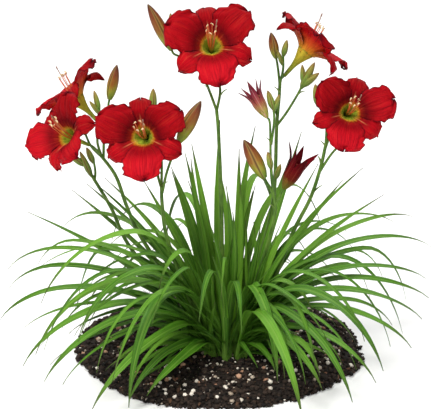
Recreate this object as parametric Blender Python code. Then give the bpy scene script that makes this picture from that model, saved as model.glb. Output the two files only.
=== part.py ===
"""Daylily plant growing in a low round bed of soil.

Nine fans of arching leaves stand in a ring, seven flower stems rise between them, and the stems carry
six open blooms, two half-open ones and the buds. +Z is up and the camera side is -Y. The origin is the
middle of the soil's flat underside. Every size below is in millimetres or degrees, and MM turns the
finished points into Blender's metres.
"""

import math
import random

import bmesh
import bpy
import numpy as np

MM = 0.001

# Soil bed
SOIL_RADIUS = 200.0
SOIL_RIM_HEIGHT = 9.0
SOIL_MOUND_HEIGHT = 24.0
SOIL_SIDES = 34
SOIL_RINGS = (0.9, 0.5)
SOIL_LUMPS = 1.2
SOIL_FOOT, SOIL_SIDE, SOIL_EDGE = (0.955, 0.0), (1.0, 0.42), (0.975, 0.92)
RIM_WANDER = 0.03
HOLE_DEPTH = 7.0
HOLE_GAP = 0.4

# Crown of the plant: the point on the soil that every fan and stem grows out from
CROWN_X, CROWN_Y = 10.0, -45.0
FAN_ROOT_Z = 8.0
FOOT_SPREAD, FOOT_RISE = 0.62, 14.0

# Leaves
LEAF_STEPS = 6
UPRIGHT_STEPS = 4
LEAF_ROOT_WIDTH = 8.0
LEAF_KEEL = 0.17
LEAF_MIN_KEEL = 1.3
LEAF_ROLL = 24.0
SWELL_END = 0.34
TAPER = (2.3, 1.05)
# Shares of a midline's run and rise at which its curve's handles lie
CLIMB, LEVEL, FALL = (0.12, 0.62), 0.45, (0.15, 0.55)
LEAN_LOW, LEAN_HIGH = (0.18, 0.45), (0.42, 0.27)
LEAVES_PER_FAN = 8
LEAF_SEED = 1
WEDGE_MARGIN = 3.6
SOIL_CLEARANCE = 5.5
GROUND_CLEARANCE = 5.0

# Fan name: (middle azimuth, half of its wedge, distance of its foot from the crown point).
# Azimuths are seen from above: 0 is +X, 90 is away from the camera and 270 towards it.
FANS = {
    "fan_left": (186.0, 14.0, 44.0),
    "fan_front_left": (222.5, 22.5, 32.0),
    "fan_front": (265.0, 20.0, 32.0),
    "fan_front_right": (305.0, 20.0, 34.0),
    "fan_right": (347.5, 22.5, 32.0),
    "fan_back_right": (27.5, 17.5, 38.0),
    "fan_back": (65.0, 20.0, 33.0),
    "fan_back_middle": (103.5, 18.5, 32.0),
    "fan_back_left": (141.0, 19.0, 34.0),
}

# Leaves that arch over: (azimuth, reach of the tip from the crown point, its height, reach and height
# of the highest point, width)
ARCHING = {
    "fan_left": [
        (188, 306, 158, 238, 190, 14), (180, 264, 148, 212, 188, 14), (183, 304, 120, 234, 154, 15),
        (192, 320, 94, 229, 135, 17), (177, 215, 60, 172, 168, 12), (186, 196, 96, 130, 150, 15),
    ],
    "fan_front_left": [
        (206, 280, 142, 150, 222, 14), (205, 288, 66, 167, 154, 16), (210, 318, 66, 180, 126, 16),
        (216, 304, 52, 172, 118, 19), (215, 245, 100, 134, 172, 17), (234, 226, 16, 132, 150, 21),
        (226, 262, 15, 110, 92, 20), (237, 200, 26, 90, 60, 20), (230, 208, 14, 122, 66, 18),
        (221, 124, 145, 84, 192, 16),
    ],
    "fan_front": [
        (254, 140, 120, 92, 176, 18), (278, 138, 104, 88, 160, 17), (266, 128, 150, 92, 196, 16),
    ],
    "fan_front_right": [
        (320, 272, 66, 140, 148, 18), (316, 275, 56, 172, 102, 15), (309, 264, 34, 110, 122, 19),
        (295, 160, 38, 72, 146, 20), (292, 262, 28, 132, 126, 21), (305, 222, 40, 130, 92, 19),
        (313, 184, 40, 138, 82, 16), (300, 130, 38, 78, 56, 15),
    ],
    "fan_right": [
        (350, 277, 148, 209, 166, 17), (345, 285, 130, 203, 148, 15), (340, 282, 108, 186, 140, 18),
        (354, 246, 56, 150, 168, 13), (335, 276, 74, 170, 112, 14), (347, 234, 80, 172, 112, 13),
        (362, 284, 172, 216, 192, 17), (332, 134, 100, 86, 142, 14),
    ],
    "fan_back_right": [
        (18, 281, 186, 237, 197, 15), (20, 258, 174, 188, 198, 13), (15, 265, 67, 199, 156, 13),
        (26, 254, 71, 190, 140, 12), (21, 222, 51, 176, 128, 12),
    ],
    "fan_back": [(68, 190, 150, 120, 240, 16), (52, 226, 130, 140, 225, 15)],
    "fan_back_middle": [(93, 196, 120, 120, 220, 16), (115, 210, 110, 130, 210, 15)],
    "fan_back_left": [(152, 276, 142, 200, 190, 13), (138, 226, 120, 140, 205, 15)],
}

# Leaves that still rise at their tips: (azimuth, reach, height of the tip, width)
UPRIGHT = {
    "fan_left": [(177, 277, 222, 13), (178, 182, 268, 13), (192, 118, 236, 15)],
    "fan_front_left": [(212, 96, 226, 16)],
    "fan_front": [
        (252, 84, 246, 17), (275, 80, 258, 17), (268, 50, 284, 16), (259, 108, 205, 17), (280, 60, 224, 15),
    ],
    "fan_front_right": [(302, 84, 234, 16), (317, 106, 250, 15)],
    "fan_right": [(361, 187, 292, 15), (357, 216, 258, 16)],
    "fan_back_right": [(23, 138, 280, 14), (37, 130, 318, 15), (33, 196, 236, 15)],
    "fan_back": [(60, 78, 330, 16), (74, 60, 300, 16), (70, 52, 262, 15), (54, 150, 262, 15)],
    "fan_back_middle": [(97, 84, 334, 17), (112, 134, 284, 17), (108, 168, 250, 16), (100, 60, 270, 15)],
    "fan_back_left": [
        (150, 256, 213, 13), (147, 240, 222, 13), (144, 216, 232, 13), (148, 139, 248, 14),
        (141, 101, 271, 17), (131, 90, 290, 16), (134, 112, 258, 16),
    ],
}

# Flower stems. The route's points are (x, y, z), and the radii are at its two ends.
STEM_SIDES = 5
TWIG_SIDES = 4
STEM_RADII = (3.4, 2.3)
TWIG_RADII = (1.9, 1.5)
STEM_HOLE_RADIUS = 4.3
BRACT_WIDTH = 5.0
SOCKET_GAP = 0.35
TWIG_LEAD = 7.0

# Bloom, measured along its own axis from the foot of its tube
TUBE_SIDES = 8
TUBE_OUTER = ((2.6, 0.0), (4.0, 21.0), (7.4, 33.0), (13.6, 46.5))
TUBE_INNER = ((11.9, 46.5), (5.6, 33.0), (2.3, 20.0))
STAMEN_PLUG_RADIUS = 1.8
STAMEN_PLUG_SPAN = (20.4, 27.0)
PETAL_THICKNESS = 1.3


def clear_scene():
    """Removes whatever the file opened with."""
    for obj in list(bpy.data.objects):
        bpy.data.objects.remove(obj, do_unlink=True)


def make_material(name, colour, roughness):
    """A plain Principled material of one colour."""
    material = bpy.data.materials.new(name)
    material.use_nodes = True
    shader = material.node_tree.nodes["Principled BSDF"]
    shader.inputs["Base Color"].default_value = (*colour, 1.0)
    shader.inputs["Roughness"].default_value = roughness
    shader.inputs["Metallic"].default_value = 0.0
    material.diffuse_color = (*colour, 1.0)
    return material


def make_object(name, points, faces, material):
    """A closed mesh object from points in millimetres, turned so that its faces point out."""
    mesh = bpy.data.meshes.new(name)
    mesh.from_pydata((np.asarray(points, float) * MM).tolist(), [], faces)
    shape = bmesh.new()
    shape.from_mesh(mesh)
    bmesh.ops.recalc_face_normals(shape, faces=shape.faces)
    bmesh.ops.triangulate(shape, faces=[face for face in shape.faces if len(face.verts) > 3])
    if shape.calc_volume(signed=True) < 0:
        bmesh.ops.reverse_faces(shape, faces=shape.faces)
    shape.to_mesh(mesh)
    shape.free()
    mesh.materials.append(material)
    obj = bpy.data.objects.new(name, mesh)
    bpy.context.scene.collection.objects.link(obj)
    return obj


def apply_boolean(obj, operation, collection, solver):
    """Joins or cuts obj with every object of a collection, and applies it."""
    modifier = obj.modifiers.new("join", "BOOLEAN")
    modifier.operation = operation
    modifier.operand_type = "COLLECTION"
    modifier.collection = collection
    modifier.solver = solver
    bpy.context.view_layer.update()
    graph = bpy.context.evaluated_depsgraph_get()
    joined = bpy.data.meshes.new_from_object(obj.evaluated_get(graph))
    obj.modifiers.clear()
    obj.data = joined


def combine(base, others, operation="UNION"):
    """One Boolean of base with the others, which are then removed."""
    group = bpy.data.collections.new(base.name + "_pieces")
    bpy.context.scene.collection.children.link(group)
    for obj in others:
        bpy.context.scene.collection.objects.unlink(obj)
        group.objects.link(obj)
    apply_boolean(base, operation, group, "MANIFOLD")
    for obj in others:
        bpy.data.objects.remove(obj, do_unlink=True)
    bpy.data.collections.remove(group)
    return base


def unit(vector):
    """The vector at length one."""
    vector = np.asarray(vector, float)
    return vector / np.linalg.norm(vector)


def bezier(points, count):
    """Points along a cubic Bezier curve, ends included."""
    t = np.linspace(0.0, 1.0, count)[:, None]
    p0, p1, p2, p3 = (np.asarray(p, float) for p in points)
    return (1 - t) ** 3 * p0 + 3 * (1 - t) ** 2 * t * p1 + 3 * (1 - t) * t**2 * p2 + t**3 * p3


def smooth_route(points, per_span):
    """A Catmull-Rom curve through the points, with per_span steps between two of them."""
    route = np.asarray(points, float)
    ends = np.vstack([2 * route[0] - route[1], route, 2 * route[-1] - route[-2]])
    out = []
    for i in range(len(route) - 1):
        a, b, c, d = ends[i : i + 4]
        for step in range(per_span):
            t = step / per_span
            out.append(
                0.5 * (2 * b + (c - a) * t + (2 * a - 5 * b + 4 * c - d) * t**2
                       + (3 * b - a - 3 * c + d) * t**3)
            )
    out.append(route[-1])
    return np.array(out)


def carried_frames(route):
    """Tangent, side and normal at each point of a route, turned as little as possible on the way."""
    tangents = np.gradient(route, axis=0)
    tangents /= np.linalg.norm(tangents, axis=1)[:, None]
    side = np.cross(tangents[0], (0.0, 0.0, 1.0))
    if np.linalg.norm(side) < 0.1:
        side = np.cross(tangents[0], (0.0, 1.0, 0.0))
    sides = []
    for tangent in tangents:
        side = unit(side - tangent * np.dot(side, tangent))
        sides.append(side)
    sides = np.array(sides)
    return tangents, sides, np.cross(sides, tangents)


def skin(rings, apex=None):
    """Faces over a stack of rings of equal size, capped flat, or closed to a point at the end."""
    count, size = len(rings), len(rings[0])
    points = [p for ring in rings for p in ring]
    faces = [tuple(range(size - 1, -1, -1))]
    for i in range(count - 1):
        for j in range(size):
            k = (j + 1) % size
            faces.append((i * size + j, i * size + k, (i + 1) * size + k, (i + 1) * size + j))
    last = (count - 1) * size
    if apex is None:
        faces.append(tuple(range(last, last + size)))
    else:
        points.append(apex)
        faces += [(last + j, last + (j + 1) % size, last + size) for j in range(size)]
    return points, faces


def round_tube(name, route, radii, sides, material, pointed=False):
    """A tube along a route, its radius given at every point, with flat ends or a pointed far end."""
    _, side, normal = carried_frames(route)
    turns = np.arange(sides) * 2 * math.pi / sides
    rings = [
        [p + r * (math.cos(a) * s + math.sin(a) * n) for a in turns]
        for p, r, s, n in zip(route, radii, side, normal)
    ]
    if pointed:
        points, faces = skin(rings[:-1], apex=route[-1])
    else:
        points, faces = skin(rings)
    return make_object(name, points, faces, material)


def soil_height(x, y):
    """Height of the soil's surface: a low mound that falls away to the rim."""
    share = min(1.0, math.hypot(x, y) / SOIL_RADIUS)
    return SOIL_RIM_HEIGHT + (SOIL_MOUND_HEIGHT - SOIL_RIM_HEIGHT) * (1 - share**2.2)


def make_soil(cutters, material):
    """The bed: a low mound with an uneven rim and a flat underside, with a plain hole for each stem."""
    rng = random.Random(4)
    wander = [1 + RIM_WANDER * rng.uniform(-1, 1) for _ in range(SOIL_SIDES)]
    turns = [2 * math.pi * i / SOIL_SIDES for i in range(SOIL_SIDES)]

    def ring(share, height=None):
        out = []
        for a, wide in zip(turns, wander):
            reach = SOIL_RADIUS * share * wide
            x, y = reach * math.cos(a), reach * math.sin(a)
            z = soil_height(x, y) + SOIL_LUMPS * rng.uniform(-1, 1) if height is None else height
            out.append((x, y, z))
        return out

    rings = [ring(share, SOIL_RIM_HEIGHT * high) for share, high in (SOIL_FOOT, SOIL_SIDE, SOIL_EDGE)]
    rings += [ring(share) for share in SOIL_RINGS]
    points, faces = skin(rings, apex=(0.0, 0.0, SOIL_MOUND_HEIGHT))
    return combine(make_object("soil_bed", points, faces, material), cutters, "DIFFERENCE")


def hole_cutter(x, y, long_radius, short_radius, turn, sides=8):
    """An upright prism over an oval, which cuts a hole a little wider than the oval."""
    bottom = soil_height(x, y) - HOLE_DEPTH - HOLE_GAP
    rings = []
    for z in (bottom, 2 * SOIL_MOUND_HEIGHT):
        rings.append(
            [(*oval_point(x, y, long_radius + HOLE_GAP, short_radius + HOLE_GAP, turn,
                          2 * math.pi * i / sides), z) for i in range(sides)]
        )
    points, faces = skin(rings)
    return make_object("cutter", points, faces, None)


def oval_point(x, y, long_radius, short_radius, turn, angle):
    """A point of an upright oval whose long axis is turned to azimuth turn, in radians."""
    a, b = long_radius * math.cos(angle), short_radius * math.sin(angle)
    return x + a * math.cos(turn) - b * math.sin(turn), y + a * math.sin(turn) + b * math.cos(turn)


# Neck of a fan, an oval that tapers upwards: (height above the soil, share of its width)
NECK_LONG, NECK_SHORT, NECK_SIDES = 13.0, 6.5, 8
NECK_RISE = ((-HOLE_DEPTH, 1.0), (12.0, 0.97), (44.0, 0.5))


def leaf_width(t, width):
    """Half width along a blade: narrow at the root, widest at a third, drawn out to a point."""
    swell = np.clip(t / SWELL_END, 0, 1)
    swell = swell * swell * (3 - 2 * swell)
    full = LEAF_ROOT_WIDTH / width + (1 - LEAF_ROOT_WIDTH / width) * swell
    return 0.5 * width * full * (1 - t ** TAPER[0]) ** TAPER[1]


def crown_point(azimuth, reach, height):
    """The point at that azimuth and distance from the crown point, at that height."""
    turn = math.radians(azimuth)
    return np.array([CROWN_X + reach * math.cos(turn), CROWN_Y + reach * math.sin(turn), height])


def evenly(points, count):
    """Points at equal distances along a finely divided line."""
    steps = np.linalg.norm(np.diff(points, axis=0), axis=1)
    along = np.concatenate([[0.0], np.cumsum(steps)])
    wanted = np.linspace(0, along[-1], count)
    return np.column_stack([np.interp(wanted, along, points[:, axis]) for axis in range(3)])


def arching_route(foot, leaf):
    """A midline that climbs steeply, is level at its highest point and comes down to its tip."""
    azimuth, reach, tip_height, top_reach, top_height, _ = leaf
    top, tip = crown_point(azimuth, top_reach, top_height), crown_point(azimuth, reach, tip_height)
    level = np.array([1.0, 1.0, 0.0])
    climb, run, drop = (top - foot) * level, (tip - top) * level, np.array([0, 0, top[2] - tip[2]])
    ahead = unit(unit(climb) + unit(run))
    rise = np.array([0, 0, top[2] - foot[2]])
    first = bezier((foot, foot + CLIMB[0] * climb + CLIMB[1] * rise,
                    top - LEVEL * np.linalg.norm(climb) * ahead, top), 30)
    second = bezier((top, top + LEVEL * np.linalg.norm(run) * ahead,
                     tip - FALL[0] * run + FALL[1] * drop, tip), 30)
    return np.vstack([first, second[1:]])


def upright_route(foot, leaf):
    """A midline that climbs steeply and leans out towards its tip."""
    azimuth, reach, height, _ = leaf
    tip = crown_point(azimuth, reach, height)
    run, rise = (tip - foot) * (1, 1, 0), (tip - foot) * (0, 0, 1)
    return bezier((foot, foot + LEAN_LOW[0] * run + LEAN_LOW[1] * rise,
                   tip - LEAN_HIGH[0] * run - LEAN_HIGH[1] * rise, tip), 40)


def lift_off_soil(route):
    """Raises a midline where it would run into the soil."""
    out = route.copy()
    for i in range(2, len(out)):
        x, y, z = out[i]
        on_bed = math.hypot(x, y) < SOIL_RADIUS * (1 + 2 * RIM_WANDER)
        floor = soil_height(x, y) + SOIL_CLEARANCE if on_bed else GROUND_CLEARANCE
        out[i][2] = max(z, floor)
    return out


def make_blade(name, foot, leaf, material):
    """One leaf: a keeled three-sided blade along its midline, its upper face turned to the front."""
    arching = len(leaf) == 6
    route = arching_route(foot, leaf) if arching else upright_route(foot, leaf)
    route = lift_off_soil(evenly(route, (LEAF_STEPS if arching else UPRIGHT_STEPS) + 1))
    heading = unit((route[-1] - route[0]) * (1, 1, 0))
    across = np.array([-heading[1], heading[0], 0.0])
    tangents = np.gradient(route, axis=0)
    tangents /= np.linalg.norm(tangents, axis=1)[:, None]
    t = np.linspace(0, 1, len(route))
    roll = -math.radians(LEAF_ROLL) * heading[0] * np.clip(2.5 * t, 0, 1)
    rings = []
    for p, tangent, h, turn in zip(route[:-1], tangents, leaf_width(t, leaf[-1]), roll):
        under = np.cross(across, tangent)
        side = across * math.cos(turn) + under * math.sin(turn)
        under = np.cross(side, tangent)
        keel = max(LEAF_MIN_KEEL, 2 * h * LEAF_KEEL)
        rings.append([p - side * h, p + side * h, p + under * keel])
    points, faces = skin(rings, apex=route[-1])
    return make_object(name, points, faces, material)


def drawn_leaf(middle, limit, rng):
    """A leaf at random, arching over or upright, inside the fan's wedge."""
    azimuth = middle + limit * rng.uniform(-1, 1)
    width = rng.uniform(14, 18)
    if rng.random() < 0.5:
        reach = rng.uniform(150, 235)
        top = rng.uniform(120, 200)
        return (azimuth, reach, top * rng.uniform(0.35, 0.6), 0.62 * reach, top, width)
    return (azimuth, rng.uniform(70, 170), rng.uniform(200, 280), width)


def fan_leaves(name, rng):
    """The fan's named leaves, then drawn ones up to its full count, all inside its wedge."""
    middle, half, _ = FANS[name]
    limit = half - WEDGE_MARGIN
    leaves = ARCHING[name] + UPRIGHT[name]
    leaves += [drawn_leaf(middle, limit, rng) for _ in range(LEAVES_PER_FAN - len(leaves))]
    held = []
    for azimuth, *rest in leaves:
        offset = (azimuth - middle + 180) % 360 - 180
        held.append((middle + max(-limit, min(limit, offset)), *rest))
    return held


def fan_foot(name):
    """Middle of the fan's neck where it meets the soil, and the fan's azimuth in radians."""
    middle, _, distance = FANS[name]
    turn = math.radians(middle)
    return CROWN_X + distance * math.cos(turn), CROWN_Y + distance * math.sin(turn), turn


def make_fan(name, rng, material):
    """A fan: its flat neck standing in the soil and its leaves, joined in one body."""
    x, y, turn = fan_foot(name)
    ground = soil_height(x, y)
    rings = []
    for rise, share in NECK_RISE:
        rings.append(
            [(*oval_point(x, y, NECK_LONG * share, NECK_SHORT * share, turn,
                          2 * math.pi * i / NECK_SIDES), ground + rise) for i in range(NECK_SIDES)]
        )
    points, faces = skin(rings)
    neck = make_object(name, points, faces, material)
    leaves = fan_leaves(name, rng)
    order = sorted(range(len(leaves)), key=lambda i: leaves[i][1])
    blades = []
    for rank, i in enumerate(order):
        along = (rank / (len(order) - 1) - 0.5) * 2 * FOOT_SPREAD * NECK_LONG
        foot = np.array([x + along * math.cos(turn), y + along * math.sin(turn),
                         ground + FAN_ROOT_Z + FOOT_RISE * rng.random()])
        blades.append(make_blade(f"{name}_leaf", foot, leaves[i], material))
    return combine(neck, blades)


# Buds as (share of the length, share of the width) from the base to the tip
LARGE_BUD_RINGS = ((0.0, 0.42), (0.16, 0.78), (0.42, 1.0), (0.68, 0.84), (0.88, 0.46), (1.0, 0.14))
SMALL_BUD_RINGS = ((0.0, 0.46), (0.3, 1.0), (0.68, 0.84), (1.0, 0.2))


def make_bud(name, base, tip, width, rings, sides, material):
    """A closed bud from its base to its tip."""
    base, tip = np.array(base, float), np.array(tip, float)
    route = np.array([base + (tip - base) * share for share, _ in rings])
    radii = [0.5 * width * wide for _, wide in rings]
    return round_tube(name, route, radii, sides, material)


def make_twig(route, carries, material):
    """A branch of a stem along its route; it ends square, just short of what it carries."""
    points = np.array(route, float)
    if carries is not None:
        foot, way = carried_foot(carries)
        points = np.vstack([points, foot - way * TWIG_LEAD, foot - way * SOCKET_GAP])
    wide = np.linspace(TWIG_RADII[0], TWIG_RADII[1], len(points))
    return round_tube("twig", points, wide, TWIG_SIDES, material)


def carried_foot(name):
    """Foot and direction of the bloom or bud of that name."""
    if name in BLOOMS:
        foot, axis, _, _ = BLOOMS[name]
        return np.array(foot), unit(axis)
    base, tip, _ = {**LARGE_BUDS, **HALF_OPEN}[name]
    return np.array(base, float), unit(np.array(tip, float) - np.array(base, float))


def make_bract(at, towards, length, material):
    """A short pointed scale leaf that stands off a stem."""
    at, towards = np.array(at, float), unit(towards)
    route = np.array([at, at + towards * length / 2, at + towards * length])
    radii = [BRACT_WIDTH / 2, BRACT_WIDTH * 0.4, 0.0]
    return round_tube("bract", route, radii, 4, material, pointed=True)


# Stems. Each has a main route from the soil, twigs as (route, what the twig carries), small green buds
# as (base, tip, width) and bracts as (place, direction, length). Twigs start inside the stem.
STEMS = {
    "stem_far_left": {
        "route": [(-22, -33), (-70, -16, 84), (-129, 4, 160), (-153, 13, 212), (-180, 21, 258)],
        "twigs": [([(-178, 20, 254), (-184, 23, 266), (-190, 24, 273)], None),
                  ([(-176, 19, 250), (-175, 24, 262), (-177, 26, 277)], None)],
        "buds": [((-189, 24, 271), (-212, 20, 290), 9.5), ((-180, 21, 256), (-196, 24, 292), 9.0),
                 ((-177, 26, 274), (-187, 30, 296), 9.0)],
        "bracts": [((-157, 14, 218), (-0.5, -0.2, 0.8), 16), ((-100, -6, 122), (-0.7, 0.2, 0.5), 14)],
    },
    "stem_left": {
        "route": [(-11, -41), (-50, -36, 90), (-108, -28, 180), (-129, -25, 227), (-144, -23, 272),
                  (-166, -20, 304)],
        "twigs": [([(-163, -20, 300), (-168, -22, 308)], "bloom_left"),
                  ([(-164, -20, 301), (-170, -4, 318)], "bloom_left_back"),
                  ([(-161, -20, 299), (-160, -10, 330), (-155, 2, 358)], "bud_left"),
                  ([(-160, -12, 328), (-164, -2, 346), (-167, 4, 362)], None),
                  ([(-162, -20, 298), (-178, -12, 312), (-187, -6, 330)], None)],
        "buds": [((-167, 4, 359), (-174, 10, 386), 8.0), ((-166, 2, 354), (-180, 0, 374), 6.5),
                 ((-186, -7, 327), (-193, -3, 346), 7.0)],
        "bracts": [((-131, -25, 232), (-0.6, 0.1, 0.8), 15), ((-161, -12, 326), (0.7, 0.0, 0.6), 13)],
    },
    "stem_front_left": {
        "route": [(-10, -52), (-40, -63, 100), (-72, -75, 198), (-79, -77, 250), (-80, -76, 278)],
        "twigs": [([(-79.5, -76.5, 272), (-86, -64, 292)], "bloom_front_left"),
                  ([(-79, -77, 268), (-72, -79, 300)], "bud_middle"),
                  ([(-80, -76, 274), (-80, -58, 310), (-84, -46, 345), (-92, -42, 376)], None)],
        "buds": [((-92, -42, 373), (-91, -40, 405), 11.0)],
        "bracts": [((-80, -76, 276), (0.8, -0.1, 0.5), 13), ((-85, -66, 289), (-0.7, -0.3, 0.6), 15)],
    },
    "stem_centre": {
        "route": [(6, -47), (3, -42, 110), (2, -36, 230), (-2, -32, 335), (-5, -30, 374)],
        "twigs": [([(-5, -30, 368), (0, -18, 396), (-6, 4, 420)], "bloom_top"),
                  ([(-5, -30, 371), (-17, -10, 398), (-30, 8, 420), (-48, 4, 434)], "bud_top"),
                  ([(-48, 4, 433), (-58, 12, 450), (-66, 16, 469)], None)],
        "buds": [((-66, 16, 466), (-68, 16, 495), 8.5)],
        "bracts": [((-13, -16, 390), (-0.6, -0.1, 0.7), 16), ((0, -24, 388), (0.7, -0.2, 0.7), 17)],
    },
    "stem_back_right": {
        "route": [(27, -28), (48, -4, 110), (74, 20, 213), (79, 25, 330), (82, 28, 370), (83, 30, 392)],
        "twigs": [([(82.5, 29, 382)], "bloom_top_right"),
                  ([(83, 30, 386), (81, 33, 404)], "bud_back_right"),
                  ([(83, 30, 390), (87, 25, 412), (87, 24, 434)], None),
                  ([(79, 25, 330), (93, 20, 352), (109, 16, 382), (117, 14, 402)], None)],
        "buds": [((87, 24, 431), (92, 23, 455), 8.5), ((86.5, 25, 418), (79, 23, 440), 6.5),
                 ((112, 15, 388), (130, 12, 426), 11.0), ((112, 15, 390), (136, 8, 412), 10.5),
                 ((115, 14.5, 394), (113, 14, 422), 8.0)],
        "bracts": [((79, 25, 342), (-0.5, 0.2, 0.8), 22), ((82, 28, 376), (-0.6, -0.3, 0.7), 15),
                   ((107, 17, 376), (0.8, -0.3, 0.5), 14)],
    },
    "stem_front_right": {
        "route": [(22, -53), (44, -68, 110), (70, -86, 215), (75, -90, 252), (73, -91, 270)],
        "twigs": [([(73.5, -91, 264), (69, -91, 278)], "bud_low"),
                  ([(74.5, -90.5, 254)], "opening_dark"),
                  ([(73, -91, 266), (69, -80, 300), (68, -72, 345)], "opening_rose"),
                  ([(69, -74, 336), (73, -66, 366), (72, -64, 386)], None),
                  ([(73, -91, 266), (71, -96, 290), (69, -96, 312)], None),
                  ([(73, -91, 264), (75, -82, 280), (75.5, -80, 292)], None)],
        "buds": [((69, -96, 309), (64, -97, 334), 8.5), ((75.5, -80, 289), (82, -79, 310), 8.0),
                 ((72, -64, 383), (64, -64, 410), 9.5), ((72, -64.5, 380), (80, -62, 404), 7.0)],
        "bracts": [((74, -90, 248), (-0.7, -0.2, 0.6), 14), ((68, -75, 336), (-0.5, -0.2, 0.8), 14)],
    },
    "stem_right": {
        "route": [(32, -41), (62, -35, 85), (100, -28, 187), (125, -25, 240), (139, -22, 285),
                  (146, -21, 320)],
        "twigs": [([(145, -21, 312), (151, -17, 328)], "bloom_right"),
                  ([(145.5, -21, 316), (146, -20, 342), (141, -18, 362), (136, -18, 375)], None),
                  ([(138, -22, 279), (152, -26, 304), (168, -30, 326), (173, -32, 338)], None)],
        "buds": [((136, -18, 372), (130, -18, 404), 12.5), ((172, -32, 334), (178, -36, 356), 7.5)],
        "bracts": [((126, -25, 243), (0.7, -0.1, 0.7), 26), ((139, -22, 286), (-0.3, -0.3, 0.9), 20),
                   ((145, -21, 312), (-0.6, -0.2, 0.8), 16), ((155, -27, 308), (0.8, -0.1, 0.5), 13)],
    },
}

# Large coloured buds: (base, tip, width). Each stands on the end of a twig.
LARGE_BUDS = {
    "bud_top": ((-66, -6.5, 450), (-98, -10, 515), 17.0),
    "bud_left": ((-152.8, 8.4, 374), (-142, 10, 423), 15.0),
    "bud_middle": ((-56, -80.2, 342.5), (-26, -80, 400), 19.0),
    "bud_low": ((60, -89.2, 294), (32, -86, 347), 20.0),
    "bud_back_right": ((77.6, 35.1, 425), (70, 35, 462), 13.0),
}

# Half-open flowers: (base, tip, width of the body)
HALF_OPEN = {
    "opening_dark": ((86.2, -94.8, 280.4), (110, -98, 326), 25.0),
    "opening_rose": ((63.6, -69.8, 373.6), (42, -66, 412), 20.0),
}

# Open blooms: (foot of the tube, axis, turn of the first petal, scale). The turn is measured
# counterclockwise from the bloom's right, as seen by someone whom it faces.
BLOOMS = {
    "bloom_top": ((-12.0, 8.0, 434.0), (0.0, -0.800, 0.600), 40.0, 1.0),
    "bloom_front_left": ((-96.0, -47.6, 336.0), (-0.161, -0.913, 0.375), 38.0, 1.0),
    "bloom_right": ((168.0, -5.6, 353.8), (0.188, -0.886, 0.423), 13.0, 0.92),
    "bloom_top_right": ((88.8, 32.8, 400.0), (0.656, 0.264, 0.707), 30.0, 0.97),
    "bloom_left": ((-180.0, -30.0, 320.5), (-0.650, -0.561, 0.500), 98.0, 0.9),
    "bloom_left_back": ((-170.0, 18.0, 338.6), (-0.680, 0.260, 0.680), 90.0, 0.92),
}


def make_stem(name, plan, material):
    """A flower stem with its twigs, small buds and bracts joined in one body."""
    (x, y), *rest = plan["route"]
    ground = soil_height(x, y)
    route = smooth_route([(x, y, ground + HOLE_DEPTH), *rest], 2)
    route = np.vstack([(x, y, ground - HOLE_DEPTH), route])
    radii = np.linspace(STEM_RADII[0], STEM_RADII[1], len(route))
    stem = round_tube(name, route, radii, STEM_SIDES, material)
    pieces = [make_twig(points, carries, material) for points, carries in plan["twigs"]]
    pieces += [make_bud("bud", *bud, SMALL_BUD_RINGS, 5, material) for bud in plan["buds"]]
    pieces += [make_bract(*bract, material) for bract in plan["bracts"]]
    return combine(stem, pieces)


# Petal midlines as (distance from the bloom's axis, height along it)
PETAL_LINE = ((9.9, 40.0), (12.9, 47.0), (22.5, 58.0), (38.0, 68.5), (54.0, 74.0), (66.0, 72.0))
SEPAL_LINE = ((9.9, 40.0), (13.2, 46.8), (23.5, 55.0), (38.5, 62.0), (51.5, 57.0), (57.0, 46.0))
PETAL_HALF_WIDTHS = (6.2, 8.2, 17.5, 28.0, 25.0, 0.0)
SEPAL_HALF_WIDTHS = (3.9, 5.2, 10.5, 16.0, 12.5, 0.0)
RUFFLE, RUFFLE_STEP = 3.0, 2.1
FLAT_FROM = 42.0


def bloom_frame(axis):
    """Rows: the bloom's right and its up, as seen by someone whom it faces, and its axis."""
    axis = unit(axis)
    right = unit(np.cross((0.0, 0.0, 1.0), axis))
    return np.array([right, np.cross(axis, right), axis])


def turned(points, turn):
    """Points turned about +Z."""
    c, s = math.cos(turn), math.sin(turn)
    return np.asarray(points, float) @ np.array([[c, s, 0.0], [-s, c, 0.0], [0.0, 0.0, 1.0]])


def tepal(line, widths, across, ruffle, phase):
    """Middle points of one petal on a grid, in the bloom's frame, with the petal over +X.

    A row's points lie on an arc about the bloom's axis low down, and on a flatter one further out.
    """
    rows = []
    for i, ((r, h), half) in enumerate(zip(line, widths)):
        flatness = min(1.0, (r / FLAT_FROM) ** 2)
        bend = r * (1.0 + 2.2 * flatness)
        row = []
        for s in np.linspace(-1, 1, across + 1):
            angle = half * s / bend
            x = r - bend * (1 - math.cos(angle))
            y = bend * math.sin(angle)
            wave = ruffle * flatness * s * s * math.sin(phase + RUFFLE_STEP * i + (1.5 if s > 0 else 0.0))
            row.append((x, y, h + wave))
        rows.append(row)
    return np.array(rows)


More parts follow.
